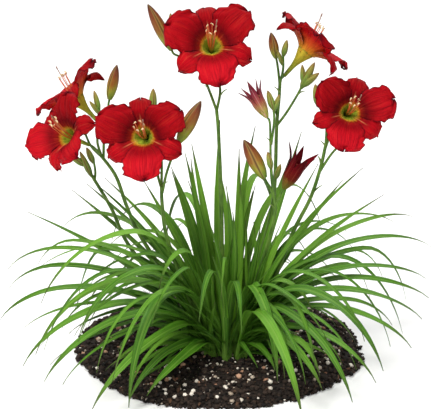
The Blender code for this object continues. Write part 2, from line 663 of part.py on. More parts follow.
def tepal_solid(name, grid, thickness, to_world, material):
    """A solid petal over its grid of middle points, thick along the middle and thin at its edge.

    Both faces are split along the same diagonals, so they never cross.
    """
    rows, columns = grid.shape[:2]
    along = np.gradient(grid, axis=0)
    over = np.gradient(grid, axis=1)
    normals = np.cross(along, over)
    normals /= np.maximum(np.linalg.norm(normals, axis=2), 1e-9)[:, :, None]
    points, top, bottom = [], {}, {}
    for i in range(rows):
        for j in range(columns):
            tip = i == rows - 1
            if tip and j:
                top[i, j] = bottom[i, j] = top[i, 0]
                continue
            if tip or i == 0 or j in (0, columns - 1):
                top[i, j] = bottom[i, j] = len(points)
                points.append(grid[i, j])
                continue
            top[i, j] = len(points)
            points.append(grid[i, j] + normals[i, j] * thickness / 2)
            bottom[i, j] = len(points)
            points.append(grid[i, j] - normals[i, j] * thickness / 2)
    faces = []
    for i in range(rows - 1):
        for j in range(columns - 1):
            for index, turn in ((top, 1), (bottom, -1)):
                a, b, c, d = index[i, j], index[i + 1, j], index[i + 1, j + 1], index[i, j + 1]
                for face in ((a, b, c), (a, c, d)):
                    if len(set(face)) == 3:
                        faces.append(face[::turn])
    return make_object(name, to_world(np.array(points)), faces, material)


def make_bloom(name, foot, axis, first_turn, scale, material):
    """An open bloom: a slender tube, three broad ruffled petals and three narrower sepals behind."""
    frame = bloom_frame(axis)

    def to_world(points, turn=0.0):
        return np.array(foot) + scale * turned(points, turn) @ frame

    turns = np.arange(TUBE_SIDES) * 2 * math.pi / TUBE_SIDES
    rings = [
        [(r * math.cos(a), r * math.sin(a), h) for a in turns] for r, h in TUBE_OUTER + TUBE_INNER
    ]
    points, faces = skin(rings)
    tube = make_object(name, to_world(points), faces, material)
    petals = []
    for k in range(6):
        broad = k % 2 == 0
        line, widths = (PETAL_LINE, PETAL_HALF_WIDTHS) if broad else (SEPAL_LINE, SEPAL_HALF_WIDTHS)
        grid = tepal(line, widths, 4 if broad else 2, RUFFLE if broad else 0.0, 0.9 * k)
        turn = math.radians(first_turn + 60 * k)
        petals.append(
            tepal_solid("petal", grid, PETAL_THICKNESS, lambda p, t=turn: to_world(p, t), material)
        )
    return combine(tube, petals)


STAMEN_LINE = ((1.0, 0.0, 24.0), (4.6, 0.0, 55.0), (7.4, 0.0, 76.0))
STAMEN_RADII = (0.6, 0.6, 1.2)
STYLE_LINE = ((0.3, 0.0, 24.0), (3.6, 0.0, 62.0), (8.0, 0.0, 90.0))
STYLE_RADII = (0.6, 0.6, 0.6)
STAMEN_LIFT, STAMEN_LIFT_FROM = 0.0060, 34.0
STAMEN_TURN = 20.0


def make_stamens(name, foot, axis, scale, material):
    """Six stamens and the longer style on a small plug in the tube, all curving upwards."""
    frame = bloom_frame(axis)
    up = np.array([0.0, 0.0, 1.0])

    def to_world(points, turn):
        local = turned(points, turn)
        lift = STAMEN_LIFT * np.maximum(0, local[:, 2:] - STAMEN_LIFT_FROM) ** 2
        return np.array(foot) + scale * (local @ frame + lift * up)

    plug = [
        [(STAMEN_PLUG_RADIUS * math.cos(a), STAMEN_PLUG_RADIUS * math.sin(a), h)
         for a in np.arange(6) * math.pi / 3] for h in STAMEN_PLUG_SPAN
    ]
    points, faces = skin(plug)
    base = make_object(name, to_world(points, 0.0), faces, material)
    threads = []
    for k in range(7):
        line = STYLE_LINE if k == 6 else STAMEN_LINE
        route = to_world(np.array(line), math.radians(60 * k + STAMEN_TURN))
        radii = STYLE_RADII if k == 6 else STAMEN_RADII
        threads.append(round_tube("thread", route, radii, 3, material))
    return combine(base, threads)


# Half-open flower: its body as (share of the width, share of the length), and a lobe's midline as
# (share of the length, share of the width outwards, the same for how far the lobe has opened) with radii
OPENING_BODY = ((0.30, 0.0), (0.75, 0.12), (1.0, 0.35), (0.88, 0.58), (0.62, 0.75))
LOBE_LINE = ((0.42, 0.30, 0.0), (0.72, 0.36, 0.0), (0.95, 0.34, 0.35), (1.18, 0.42, 1.0))
LOBE_RADII = (3.2, 4.6, 3.2, 0.0)
LOBE_SPREADS = (0.34, 0.62)


def make_half_open(name, base, tip, width, material):
    """A half-open flower: a swollen body whose six pointed lobes have begun to part."""
    base, tip = np.array(base, float), np.array(tip, float)
    length = np.linalg.norm(tip - base)
    right, up, axis = bloom_frame(tip - base)
    route = np.array([base + axis * length * h for _, h in OPENING_BODY])
    body = round_tube(name, route, [0.5 * width * r for r, _ in OPENING_BODY], 7, material)
    lobes = []
    for k in range(6):
        angle = math.radians(60 * k + 15)
        out = math.cos(angle) * right + math.sin(angle) * up
        spread = LOBE_SPREADS[k % 2]
        line = [base + axis * length * h + out * width * (r + spread * more) for h, r, more in LOBE_LINE]
        lobes.append(round_tube("lobe", np.array(line), LOBE_RADII, 3, material, pointed=True))
    return combine(body, lobes)


def main():
    clear_scene()
    leaf_green = make_material("leaf_green", (0.13, 0.33, 0.05), 0.5)
    stem_green = make_material("stem_green", (0.12, 0.26, 0.06), 0.5)
    petal_red = make_material("petal_red", (0.62, 0.01, 0.02), 0.55)
    stamen_yellow = make_material("stamen_yellow", (0.85, 0.5, 0.2), 0.5)
    bud_orange = make_material("bud_orange", (0.5, 0.22, 0.06), 0.5)
    half_open_red = make_material("half_open_red", (0.35, 0.03, 0.03), 0.5)
    soil_brown = make_material("soil_brown", (0.035, 0.022, 0.016), 0.95)

    cutters = []
    for number, name in enumerate(FANS):
        make_fan(name, random.Random(LEAF_SEED + number), leaf_green)
        x, y, turn = fan_foot(name)
        cutters.append(hole_cutter(x, y, NECK_LONG, NECK_SHORT, turn))
    for name, plan in STEMS.items():
        make_stem(name, plan, stem_green)
        x, y = plan["route"][0]
        cutters.append(hole_cutter(x, y, STEM_HOLE_RADIUS, STEM_HOLE_RADIUS, 0.0, 6))
    make_soil(cutters, soil_brown)
    for name, (base, tip, width) in LARGE_BUDS.items():
        make_bud(name, base, tip, width, LARGE_BUD_RINGS, 8, bud_orange)
    for name, (base, tip, width) in HALF_OPEN.items():
        make_half_open(name, base, tip, width, half_open_red)
    for name, (foot, axis, first_turn, scale) in BLOOMS.items():
        make_bloom(name, foot, axis, first_turn, scale, petal_red)
        make_stamens(name.replace("bloom", "stamens"), foot, axis, scale, stamen_yellow)


main()
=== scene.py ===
"""Looks of a flowering daylily clump that grows in a low round bed of soil.

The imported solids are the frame. Every visible piece is a finer surface in the place of its solid: leaves
with folded, veined blades, stems with bracts and small buds, closed and opening flowers, open blooms with
ruffled petals and curved stamens, and crumbly soil with pale grains. Sizes below are in millimetres and
angles in degrees, in the frame's own axes, and a piece's points are turned into metres as it is built.
"""

from __future__ import annotations

import logging
import math
import random
from dataclasses import dataclass, field
from enum import Enum

import bpy
import numpy as np
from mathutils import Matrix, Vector

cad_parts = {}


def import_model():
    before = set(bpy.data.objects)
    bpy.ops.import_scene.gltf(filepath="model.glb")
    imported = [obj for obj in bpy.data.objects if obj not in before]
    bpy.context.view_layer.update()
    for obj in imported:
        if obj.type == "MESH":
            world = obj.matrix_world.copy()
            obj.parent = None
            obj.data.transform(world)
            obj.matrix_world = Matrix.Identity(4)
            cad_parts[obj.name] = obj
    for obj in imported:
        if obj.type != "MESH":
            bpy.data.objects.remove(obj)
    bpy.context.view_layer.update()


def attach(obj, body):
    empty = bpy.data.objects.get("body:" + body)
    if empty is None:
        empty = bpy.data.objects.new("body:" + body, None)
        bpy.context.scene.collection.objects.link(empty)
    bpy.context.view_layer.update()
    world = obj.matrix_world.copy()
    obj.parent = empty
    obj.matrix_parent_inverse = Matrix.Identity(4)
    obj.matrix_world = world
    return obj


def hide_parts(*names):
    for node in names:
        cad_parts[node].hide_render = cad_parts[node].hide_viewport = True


LOG = logging.getLogger("daylily")
MM = 0.001
BODY = "root"

# Soil bed
SOIL_RADIUS = 200.0
SOIL_RIM_HEIGHT = 9.0
SOIL_MOUND_HEIGHT = 24.0
SOIL_SIDES = 34
SOIL_SEED = 4
RIM_NOISE_SEED, LUMP_SEED = 31, 41
RIM_WANDER = 0.03
HOLE_DEPTH = 7.0

# Crown of the plant, the point on the soil that every fan and stem grows out from
CROWN = np.array([10.0, -45.0, 0.0])
FAN_ROOT_Z = 8.0
FOOT_SPREAD, FOOT_RISE = 0.62, 14.0
NECK_LONG, NECK_SHORT = 13.0, 6.5
WEDGE_MARGIN = 3.6
SOIL_CLEARANCE = 5.5
GROUND_CLEARANCE = 5.0

# Leaves
LEAVES_PER_FAN = 8
LEAF_SEED = 1
EXTRA_SEED = 71
LEAF_ROOT_WIDTH = 8.0
LEAF_ROOT_DEPTH = 3.0
LEAF_ROLL = 24.0
SWELL_END = 0.34
TAPER = (3.1, 0.95)
LEAST_HALF_WIDTH = 0.55
BLADE_COLUMNS = np.array([-1.0, -0.82, -0.55, -0.25, 0.0, 0.25, 0.55, 0.82, 1.0])
ARCH_POINTS, UPRIGHT_POINTS = 60, 80
CLIMB, LEVEL, FALL = (0.12, 0.62), 0.45, (0.15, 0.55)
LEAN_LOW, LEAN_HIGH = (0.18, 0.45), (0.42, 0.27)

# Lattice that the noise draws its random heights on
LATTICE = 97
LATTICE_SHIFT = (40.3, 40.7)

UP = np.array([0.0, 0.0, 1.0])
LEVEL_ONLY = np.array([1.0, 1.0, 0.0])


def unit(vector: np.ndarray) -> np.ndarray:
    """The vector, or each row of an array of vectors, at length one."""
    vector = np.asarray(vector, float)
    return vector / np.maximum(np.linalg.norm(vector, axis=-1, keepdims=True), 1e-9)


def point(*values: float) -> np.ndarray:
    """A point as an array of floats."""
    return np.array(values, float)


def smoothstep(low: float, high: float, value: np.ndarray) -> np.ndarray:
    """0 below low, 1 above high, and a smooth S between them."""
    share = np.clip((value - low) / (high - low), 0.0, 1.0)
    return share * share * (3 - 2 * share)


def bezier(points: tuple[np.ndarray, ...], count: int) -> np.ndarray:
    """Points along a cubic Bezier curve, ends included.

    Args:
        points: the curve's four control points.
        count: number of points along it.

    Returns:
        The points, one row each, at equal steps of the curve's parameter.
    """
    t = np.linspace(0.0, 1.0, count)[:, None]
    p0, p1, p2, p3 = points
    return (1 - t) ** 3 * p0 + 3 * (1 - t) ** 2 * t * p1 + 3 * (1 - t) * t**2 * p2 + t**3 * p3


def through(points: np.ndarray, count: int) -> np.ndarray:
    """A smooth curve through every point, as count values at equal steps of its parameter.

    It is a Catmull-Rom curve: each span is a cubic whose slope at a point is half the step between the
    point's two neighbours.

    Args:
        points: places, radii or both, one row for each point; or a plain list of numbers.
        count: number of values.

    Returns:
        The values, one row each, or a plain array where the points were numbers.
    """
    rows = np.asarray(points, float)
    if rows.ndim == 1:
        rows = rows[:, None]
    ends = np.vstack([2 * rows[0] - rows[1], rows, 2 * rows[-1] - rows[-2]])
    at = np.linspace(0, len(rows) - 1, count)
    span = np.minimum(at.astype(int), len(rows) - 2)
    t = (at - span)[:, None]
    a, b, c, d = (ends[span + k] for k in range(4))
    out = 0.5 * (2 * b + (c - a) * t + (2 * a - 5 * b + 4 * c - d) * t**2 + (3 * b - a - 3 * c + d) * t**3)
    return out if out.shape[1] > 1 else out[:, 0]


def evenly(points: np.ndarray, count: int) -> np.ndarray:
    """Points at equal distances along a finely divided line.

    Args:
        points: the line's points, one row each.
        count: number of points to give back.

    Returns:
        The points, one row each, with both ends of the line among them.
    """
    along = np.concatenate([[0.0], np.cumsum(np.linalg.norm(np.diff(points, axis=0), axis=1))])
    wanted = np.linspace(0, along[-1], count)
    return np.column_stack([np.interp(wanted, along, column) for column in points.T])


def frames_along(route: np.ndarray) -> tuple[np.ndarray, np.ndarray]:
    """Side and normal at each point of a route.

    The side is square to the tangent and to the world axis that the route follows least, so it turns
    smoothly along any route that doesn't double back. The normal is square to both.

    Args:
        route: the route's points, one row each.

    Returns:
        The sides and the normals, one row each.
    """
    tangents = unit(np.gradient(route, axis=0))
    least = np.eye(3)[np.argmin(np.abs(tangents).max(axis=0))]
    sides = unit(np.cross(tangents, least))
    return sides, np.cross(sides, tangents)


def lattice_noise(x: np.ndarray, y: np.ndarray, size: float, seed: int) -> np.ndarray:
    """Smooth noise from -1 to 1: random heights on a square lattice, blended by S curves between them.

    Args:
        x: places along one side of the lattice, in millimetres.
        y: places along its other side.
        size: spacing of the lattice.
        seed: seed of its random heights.

    Returns:
        The noise at each place.
    """
    table = np.random.default_rng(seed).uniform(-1, 1, (LATTICE, LATTICE))
    u, v = np.asarray(x) / size + LATTICE_SHIFT[0], np.asarray(y) / size + LATTICE_SHIFT[1]
    i, j = np.floor(u).astype(int), np.floor(v).astype(int)
    a, b = smoothstep(0, 1, u - i), smoothstep(0, 1, v - j)
    i0, i1, j0, j1 = i % LATTICE, (i + 1) % LATTICE, j % LATTICE, (j + 1) % LATTICE
    low = table[i0, j0] * (1 - a) + table[i1, j0] * a
    high = table[i0, j1] * (1 - a) + table[i1, j1] * a
    return low * (1 - b) + high * b


def grid_faces(index: np.ndarray, wrap: bool = False) -> np.ndarray:
    """Four-sided faces between the neighbours of a grid of point numbers.

    Args:
        index: point numbers, one row for each line of the grid.
        wrap: whether the last column joins the first.

    Returns:
        An array of faces with four point numbers each.
    """
    if wrap:
        index = np.hstack([index, index[:, :1]])
    a, b, c, d = index[:-1, :-1], index[:-1, 1:], index[1:, 1:], index[1:, :-1]
    return np.stack([a, b, c, d], axis=-1).reshape(-1, 4)


def grid_marks(across: np.ndarray, along: np.ndarray) -> np.ndarray:
    """Grid of (across, along) for a blade's columns and rows."""
    return np.stack(np.broadcast_arrays(across[None, :], along[:, None]), axis=2)


def soil_height(x: np.ndarray, y: np.ndarray) -> np.ndarray:
    """Height of the bed's plain surface: a low mound that falls away to the rim."""
    share = np.minimum(1.0, np.hypot(x, y) / SOIL_RADIUS)
    return SOIL_RIM_HEIGHT + (SOIL_MOUND_HEIGHT - SOIL_RIM_HEIGHT) * (1 - share**2.2)


@dataclass
class Piece:
    """A mesh under construction: surfaces are added to it, and it ends as one object.

    Every point carries a mark of three numbers, which are its place across and along the surface and the
    side that it is on, and a tone, which sets one leaf, petal or grain apart from the next. A face's slot
    is the number of the finish that it wears.
    """

    name: str
    points: list[np.ndarray] = field(default_factory=list)
    faces: list[np.ndarray] = field(default_factory=list)
    marks: list[np.ndarray] = field(default_factory=list)
    tones: list[np.ndarray] = field(default_factory=list)
    slots: list[np.ndarray] = field(default_factory=list)
    count: int = 0

    def add(self, points: np.ndarray, faces: np.ndarray, marks: np.ndarray, tone: float | np.ndarray,
            slot: int = 0) -> None:
        """Adds a surface.

        Args:
            points: places in millimetres, one row each.
            faces: point numbers, four to a row; a triangle has -1 in its last place.
            marks: across, along and side for each point.
            tone: one tone for the whole surface, or one for each point.
            slot: number of the finish that the surface wears.
        """
        faces = np.asarray(faces, int)
        self.points.append(np.asarray(points, float))
        self.faces.append(np.where(faces >= 0, faces + self.count, -1))
        self.marks.append(np.broadcast_to(marks, (len(points), 3)))
        self.tones.append(np.broadcast_to(tone, len(points)))
        self.slots.append(np.full(len(faces), slot))
        self.count += len(points)

    def shell(self, middle: np.ndarray, thickness: np.ndarray, marks: np.ndarray, tone: float,
              slot: int = 0) -> None:
        """Adds a thin closed blade about a grid of middle points.

        The upper and lower faces lie half the thickness along the surface's normal from the middle, and
        they share the points of the grid's border, so the blade is closed and thins to its edge.

        Args:
            middle: grid of middle points, rows along the blade and columns across it.
            thickness: thickness at each of them.
            marks: across and along for each of them.
            tone: the blade's tone.
            slot: number of the finish.
        """
        rows, columns = middle.shape[:2]
        normals = unit(np.cross(np.gradient(middle, axis=0), np.gradient(middle, axis=1)))
        border = np.ones((rows, columns), bool)
        border[1:-1, 1:-1] = False
        lift = normals * (np.where(border, 0.0, thickness) / 2)[:, :, None]
        upper = np.arange(rows * columns).reshape(rows, columns)
        lower = upper.copy()
        lower[~border] = rows * columns + np.arange((~border).sum())
        points = np.vstack([(middle + lift).reshape(-1, 3), (middle - lift)[~border]])
        faces = np.vstack([grid_faces(upper), grid_faces(lower)[:, ::-1]])
        side = np.where(border, 0.5, 0.0)[:, :, None]
        top = np.concatenate([marks, side], axis=2).reshape(-1, 3)
        under = np.column_stack([marks[~border], np.ones((~border).sum())])
        self.add(points, faces[:, ::-1], np.vstack([top, under]), tone, slot)

    def loft(self, rings: np.ndarray, along: np.ndarray, tone: float, slot: int = 0,
             side: float | np.ndarray = 0.0) -> None:
        """Adds a closed skin over a stack of rings, with a pole at each end.

        Args:
            rings: grid of points, one ring to a row, counterclockwise about the stack's direction.
            along: how far along the stack each ring is, from 0 to 1.
            tone: the surface's tone.
            slot: number of the finish.
            side: one side for the whole skin, or one for each ring.
        """
        rows, columns = rings.shape[:2]
        sides = np.broadcast_to(side, rows)
        index = np.arange(rows * columns).reshape(rows, columns)
        start, end = rows * columns, rows * columns + 1
        first, last = index[0], index[-1]
        minus = np.full(columns, -1)
        caps = np.vstack([np.column_stack([np.roll(first, -1), first, np.full(columns, start), minus]),
                          np.column_stack([last, np.roll(last, -1), np.full(columns, end), minus])])
        points = np.vstack([rings.reshape(-1, 3), rings[0].mean(axis=0), rings[-1].mean(axis=0)])
        across = np.broadcast_to(np.linspace(-1, 1, columns, endpoint=False), (rows, columns))
        marks = np.stack([across, np.broadcast_to(along[:, None], across.shape),
                          np.broadcast_to(sides[:, None], across.shape)], axis=2)
        ends = np.array([[0, along[0], sides[0]], [0, along[-1], sides[-1]]])
        self.add(points, np.vstack([grid_faces(index, wrap=True), caps]),
                 np.vstack([marks.reshape(-1, 3), ends]), tone, slot)

    def tube(self, route: np.ndarray, radii: np.ndarray, sides: int, tone: float, slot: int = 0,
             ridges: tuple[float, int] = (0.0, 1), flat: float = 1.0) -> None:
        """Adds a closed tube: a ring square to the route at every point of it.

        Args:
            route: middle points.
            radii: radius at each of them.
            sides: points to a ring.
            tone: the surface's tone.
            slot: number of the finish.
            ridges: share by which the radius swells, and how many times round.
            flat: share of the radius that is left along the ring's second axis.
        """
        side, normal = frames_along(route)
        turn = np.arange(sides) * 2 * math.pi / sides
        swell = radii[:, None] * (1 + ridges[0] * np.cos(ridges[1] * turn))
        rings = (route[:, None] + (swell * np.cos(turn))[:, :, None] * side[:, None]
                 - (flat * swell * np.sin(turn))[:, :, None] * normal[:, None])
        self.loft(rings, np.linspace(0, 1, len(route)), tone, slot)

    def build(self, finishes: list[bpy.types.Material]) -> bpy.types.Object:
        """Makes the mesh and its object, in metres, with smooth shading, its marks and its finishes.

        Args:
            finishes: the materials, by slot number.

        Returns:
            The new object, which stands at the origin.
        """
        points, faces = np.vstack(self.points) * MM, np.vstack(self.faces)
        sizes = np.where(faces[:, 3] < 0, 3, 4)
        mesh = bpy.data.meshes.new(self.name)
        mesh.vertices.add(len(points))
        mesh.vertices.foreach_set("co", points.ravel())
        mesh.loops.add(int(sizes.sum()))
        mesh.loops.foreach_set("vertex_index", faces[faces >= 0])
        mesh.polygons.add(len(faces))
        mesh.polygons.foreach_set("loop_start", np.concatenate([[0], np.cumsum(sizes)[:-1]]))
        mesh.polygons.foreach_set("material_index", np.concatenate(self.slots))
        mesh.polygons.foreach_set("use_smooth", np.ones(len(faces), bool))
        mark = mesh.attributes.new("mark", "FLOAT_VECTOR", "POINT")
        mark.data.foreach_set("vector", np.vstack(self.marks).ravel())
        tone = mesh.attributes.new("tone", "FLOAT", "POINT")
        tone.data.foreach_set("value", np.concatenate(self.tones))
        mesh.update(calc_edges=True)
        mesh.validate()
        for finish in finishes:
            mesh.materials.append(finish)
        obj = bpy.data.objects.new(self.name, mesh)
        bpy.context.scene.collection.objects.link(obj)
        return obj

    def put(self, finishes: tuple[Finish, ...], slot: str, *nodes: str) -> None:
        """Builds the piece, ties it to the plant's body, hides the solids that it stands for, and reports
        it.

        Args:
            finishes: the finishes that it wears, by slot number.
            slot: not used.
            nodes: the solids that it stands for.
        """
        obj = self.build([finish.material() for finish in finishes])
        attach(obj, BODY)
        if nodes:
            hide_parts(*nodes)
        LOG.info("%s: %d faces, for %s", obj.name, len(obj.data.polygons), ", ".join(nodes) or "no solid")


Socket = bpy.types.NodeSocket
Colour = tuple[float, float, float]
Value = Socket | float | Colour
Stops = tuple[tuple[float, Colour], ...]
Place = tuple[float, float, float]
Profile = tuple[tuple[float, float], ...]


class Shader:
    """One procedural Principled material, with short ways to add nodes and to join them."""

    def __init__(self, name: str, **fixed: float) -> None:
        """Starts the material.

        Args:
            name: the material's name.
            fixed: values of the shader's own sockets, with _ for a space in the socket's name.
        """
        self.material = bpy.data.materials.new(name)
        self.material.use_nodes = True
        self.nodes = self.material.node_tree.nodes
        self.links = self.material.node_tree.links
        self.surface = self.nodes["Principled BSDF"]
        for socket, value in fixed.items():
            self.surface.inputs[socket.replace("_", " ")].default_value = value
        self._mark: tuple[Socket, Socket, Socket] | None = None
        self._place: Socket | None = None

    def fill(self, socket: Socket, value: Value) -> None:
        """Joins a socket to the value, or sets the value on it.

        Args:
            socket: the socket that takes the value.
            value: another node's socket, a number, or a colour.
        """
        if isinstance(value, bpy.types.NodeSocket):
            self.links.new(value, socket)
        elif isinstance(value, tuple):
            socket.default_value = (*value, 1.0)
        else:
            socket.default_value = value

    def node(self, kind: str, inputs: dict[str | int, Value], **settings: str) -> bpy.types.Node:
        """Adds a node.

        Args:
            kind: the end of Blender's name for it.
            inputs: values for its inputs, by their names or numbers.
            settings: its own settings.

        Returns:
            The node.
        """
        node = self.nodes.new("ShaderNode" + kind)
        for name, setting in settings.items():
            setattr(node, name, setting)
        for key, value in inputs.items():
            self.fill(node.inputs[key], value)
        return node

    def calc(self, operation: str, a: Value, b: Value = 0.0) -> Socket:
        """Result of a Math node on one or two values."""
        return self.node("Math", {0: a, 1: b}, operation=operation).outputs[0]

    def times(self, a: Value, b: Value) -> Socket:
        """Product of two values."""
        return self.calc("MULTIPLY", a, b)

    def plus(self, a: Value, b: Value) -> Socket:
        """Sum of two values."""
        return self.calc("ADD", a, b)

    def centred(self, value: Value, reach: float) -> Socket:
        """Value of 0 to 1, less a half and times the reach."""
        return self.times(self.calc("SUBTRACT", value, 0.5), reach)

    def blend(self, share: Value, a: Value, b: Value) -> Socket:
        """Colour a at share 0, b at share 1, and their mixture between."""
        return self.node("Mix", {0: share, 6: a, 7: b}, data_type="RGBA").outputs[2]

    def span(self, value: Value, low: float, high: float, start: float = 0.0, end: float = 1.0) -> Socket:
        """Value carried by a smooth S from low..high to start..end, and held at the ends."""
        inputs = {0: value, 1: low, 2: high, 3: start, 4: end}
        return self.node("MapRange", inputs, interpolation_type="SMOOTHSTEP").outputs[0]

    def ramp(self, value: Value, stops: Stops) -> Socket:
        """Picks a colour from a ramp.

        Args:
            value: place on the ramp, from 0 to 1.
            stops: the ramp's (place, colour) in order.

        Returns:
            The colour.
        """
        node = self.node("ValToRGB", {0: value})
        elements = node.color_ramp.elements
        while len(elements) < len(stops):
            elements.new(0.5)
        for element, (at, colour) in zip(elements, stops):
            element.position, element.color = at, (*colour, 1.0)
        return node.outputs[0]

    def attribute(self, name: str, output: str) -> Socket:
        """An attribute of the mesh, as its Fac or Vector output."""
        return self.node("Attribute", {}, attribute_name=name).outputs[output]

    def mark(self) -> tuple[Socket, Socket, Socket]:
        """Across, along and side of the point."""
        self._mark = self._mark or self.split(self.attribute("mark", "Vector"))
        return self._mark

    def tone(self) -> Socket:
        """Tone of the leaf, petal or grain."""
        return self.attribute("tone", "Fac")

    def place(self) -> Socket:
        """Place in the object's own axes, in metres."""
        self._place = self._place or self.node("TexCoord", {}).outputs["Object"]
        return self._place

    def split(self, vector: Socket) -> tuple[Socket, Socket, Socket]:
        """The three parts of a vector."""
        return tuple(self.node("SeparateXYZ", {0: vector}).outputs)

    def noise(self, vector: Socket, scale: float, detail: float = 3.0, rough: float = 0.55) -> Socket:
        """Smooth noise from 0 to 1, of scale waves to a unit and detail finer ones, weaker by rough each."""
        inputs = {"Vector": vector, "Scale": scale, "Detail": detail, "Roughness": rough}
        return self.node("TexNoise", inputs).outputs["Fac"]

    def streaks(self, across: float, along: float, tone: float, detail: float = 3.0) -> Socket:
        """Adds noise that follows the surface and differs with its tone.

        Args:
            across: waves to a unit across the surface.
            along: waves to a unit along it.
            tone: waves to a unit of its tone.
            detail: number of finer waves.

        Returns:
            The noise, from 0 to 1.
        """
        side, ahead, _ = self.mark()
        parts = (self.times(side, across), self.times(ahead, along), self.times(self.tone(), tone))
        return self.noise(self.node("CombineXYZ", dict(enumerate(parts))).outputs[0], 1.0, detail)

    def cells(self, vector: Socket, scale: float) -> Socket:
        """Distance from the middle of the nearest of random cells, scale of them to a unit."""
        return self.node("TexVoronoi", {"Vector": vector, "Scale": scale}).outputs["Distance"]

    def bump(self, height: Socket, distance: float, strength: float) -> None:
        """Gives the surface a relief, whose distance in metres is what a height of 1 stands for."""
        node = self.node("Bump", {"Height": height, "Distance": distance, "Strength": strength})
        self.links.new(node.outputs[0], self.surface.inputs["Normal"])

    def finish(self, colour: Socket, roughness: Socket | None = None) -> bpy.types.Material:
        """Joins the colour and the roughness to the surface.

        Args:
            colour: the surface's colour.
            roughness: its roughness, where it varies.

        Returns:
            The finished material.
        """
        self.links.new(colour, self.surface.inputs["Base Color"])
        if roughness is not None:
            self.links.new(roughness, self.surface.inputs["Roughness"])
        return self.material


@dataclass(frozen=True)
class LeafFinish:
    """Green blade: pale and yellowish at the root, with fine lengthwise veins and a paler midrib.

    The green goes from deep through fresh to pale green with the leaf's tone, a slow cloud and the distance
    along it, which is painted shade and painted light: darker low on the leaf and lighter towards the tip.
    Streaks, veins and the midrib lighten it, and a dry tip browns it.
    """

    name: str
    deep: Colour = (0.005, 0.056, 0.001)
    fresh: Colour = (0.037, 0.150, 0.003)
    pale_green: Colour = (0.15, 0.36, 0.025)
    root: Colour = (0.185, 0.34, 0.05)
    underside: Colour = (0.050, 0.150, 0.008)
    tip: Colour = (0.05, 0.05, 0.015)
    vein_count: float = 15.0
    gloss: float = 0.26
    roughness: float = 0.33
    relief: float = 0.0006

    def material(self) -> bpy.types.Material:
        """The finish as a material."""
        s = Shader(self.name, Specular_IOR_Level=self.gloss)
        across, along, side = s.mark()
        tone = s.tone()
        cloud = s.noise(s.place(), 34.0, 2.0)
        shade = s.plus(s.times(tone, 0.8), s.times(cloud, 0.4))
        # Painted shade and painted light: darker low on the leaf, among the others, and lighter towards the
        # tip.
        shade = s.plus(shade, s.span(along, 0.15, 0.7, -0.12, 0.12))
        green = s.ramp(shade, ((0.12, self.deep), (0.55, self.fresh), (1.0, self.pale_green)))
        green = s.blend(s.times(s.calc("GREATER_THAN", side, 0.5), 0.55), green, self.underside)
        streak = s.streaks(9.0, 2.2, 37.0)
        green = s.blend(s.span(streak, 0.45, 0.70, 0.0, 0.7), green, self.pale_green)
        green = s.blend(s.span(streak, 0.47, 0.27, 0.0, 0.7), green, self.deep)
        ribs = s.calc("SINE", s.times(across, self.vein_count * math.pi))
        green = s.blend(s.times(s.span(ribs, 0.55, 1.0), 0.38), green, self.root)
        midrib = s.span(s.calc("ABSOLUTE", across), 0.0, 0.17, 0.75, 0.0)
        green = s.blend(midrib, green, self.root)
        green = s.blend(s.span(along, 0.0, 0.16, 0.6, 0.0), green, self.root)
        dry = s.times(s.span(along, 0.80, 0.99), s.span(tone, 0.1, 0.8, 0.4, 0.85))
        green = s.blend(dry, green, self.tip)
        s.bump(s.plus(s.times(ribs, 0.5), s.times(streak, 1.2)), self.relief, 0.55)
        return s.finish(green, s.plus(s.times(streak, 0.25), self.roughness))


@dataclass(frozen=True)
class StemFinish:
    """Smooth green scape, a little bloomed and streaked, paler where it leaves the soil."""

    name: str
    green: Colour = (0.035, 0.095, 0.009)
    light: Colour = (0.11, 0.21, 0.03)
    foot: Colour = (0.2, 0.25, 0.07)
    gloss: float = 0.2
    relief: float = 0.0005

    def material(self) -> bpy.types.Material:
        """The finish as a material."""
        s = Shader(self.name, Specular_IOR_Level=self.gloss)
        streak = s.streaks(7.0, 9.0, 1.0)
        cloud = s.noise(s.place(), 60.0, 3.0)
        colour = s.blend(s.span(s.plus(streak, cloud), 0.75, 1.25), self.green, self.light)
        height = s.split(s.place())[2]
        colour = s.blend(s.span(height, 0.02, 0.07, 0.8, 0.0), colour, self.foot)
        s.bump(streak, self.relief, 0.5)
        return s.finish(colour, s.plus(s.times(cloud, 0.3), 0.3))


@dataclass(frozen=True)
class BudFinish:
    """Bud skin that turns from green at its base through warm brown to a dark reddish tip.

    Streaks and a cloud shift the bands of colour. A pale band beside each of the three seams is a painted
    highlight on the swell next to the groove, and the seams themselves are darkened as painted shade in the
    groove.
    """

    name: str
    stops: Stops
    # The seam colour is painted shade in the grooves, and the pale band beside them is a painted highlight.
    seam: Colour = (0.07, 0.03, 0.01)
    seam_highlight: Colour = (0.30, 0.22, 0.055)
    gloss: float = 0.2
    relief: float = 0.0006

    def material(self) -> bpy.types.Material:
        """The finish as a material."""
        s = Shader(self.name, Specular_IOR_Level=self.gloss)
        across, along, _ = s.mark()
        streak = s.streaks(16.0, 3.0, 11.0, 4.0)
        cloud = s.noise(s.place(), 95.0, 2.0)
        at = s.plus(s.plus(along, s.centred(streak, 0.55)), s.centred(cloud, 0.25))
        colour = s.ramp(at, self.stops)
        valley = s.calc("COSINE", s.times(across, 3.0 * math.pi))
        # Painted highlight: a pale band on the swell beside each seam.
        colour = s.blend(s.span(valley, 0.35, 0.75, 0.0, 0.45), colour, self.seam_highlight)
        # Painted shade: each seam's groove darkened.
        colour = s.blend(s.span(valley, 0.86, 1.0, 0.0, 0.8), colour, self.seam)
        s.bump(streak, self.relief, 0.6)
        return s.finish(colour, s.plus(s.times(streak, 0.25), 0.33))


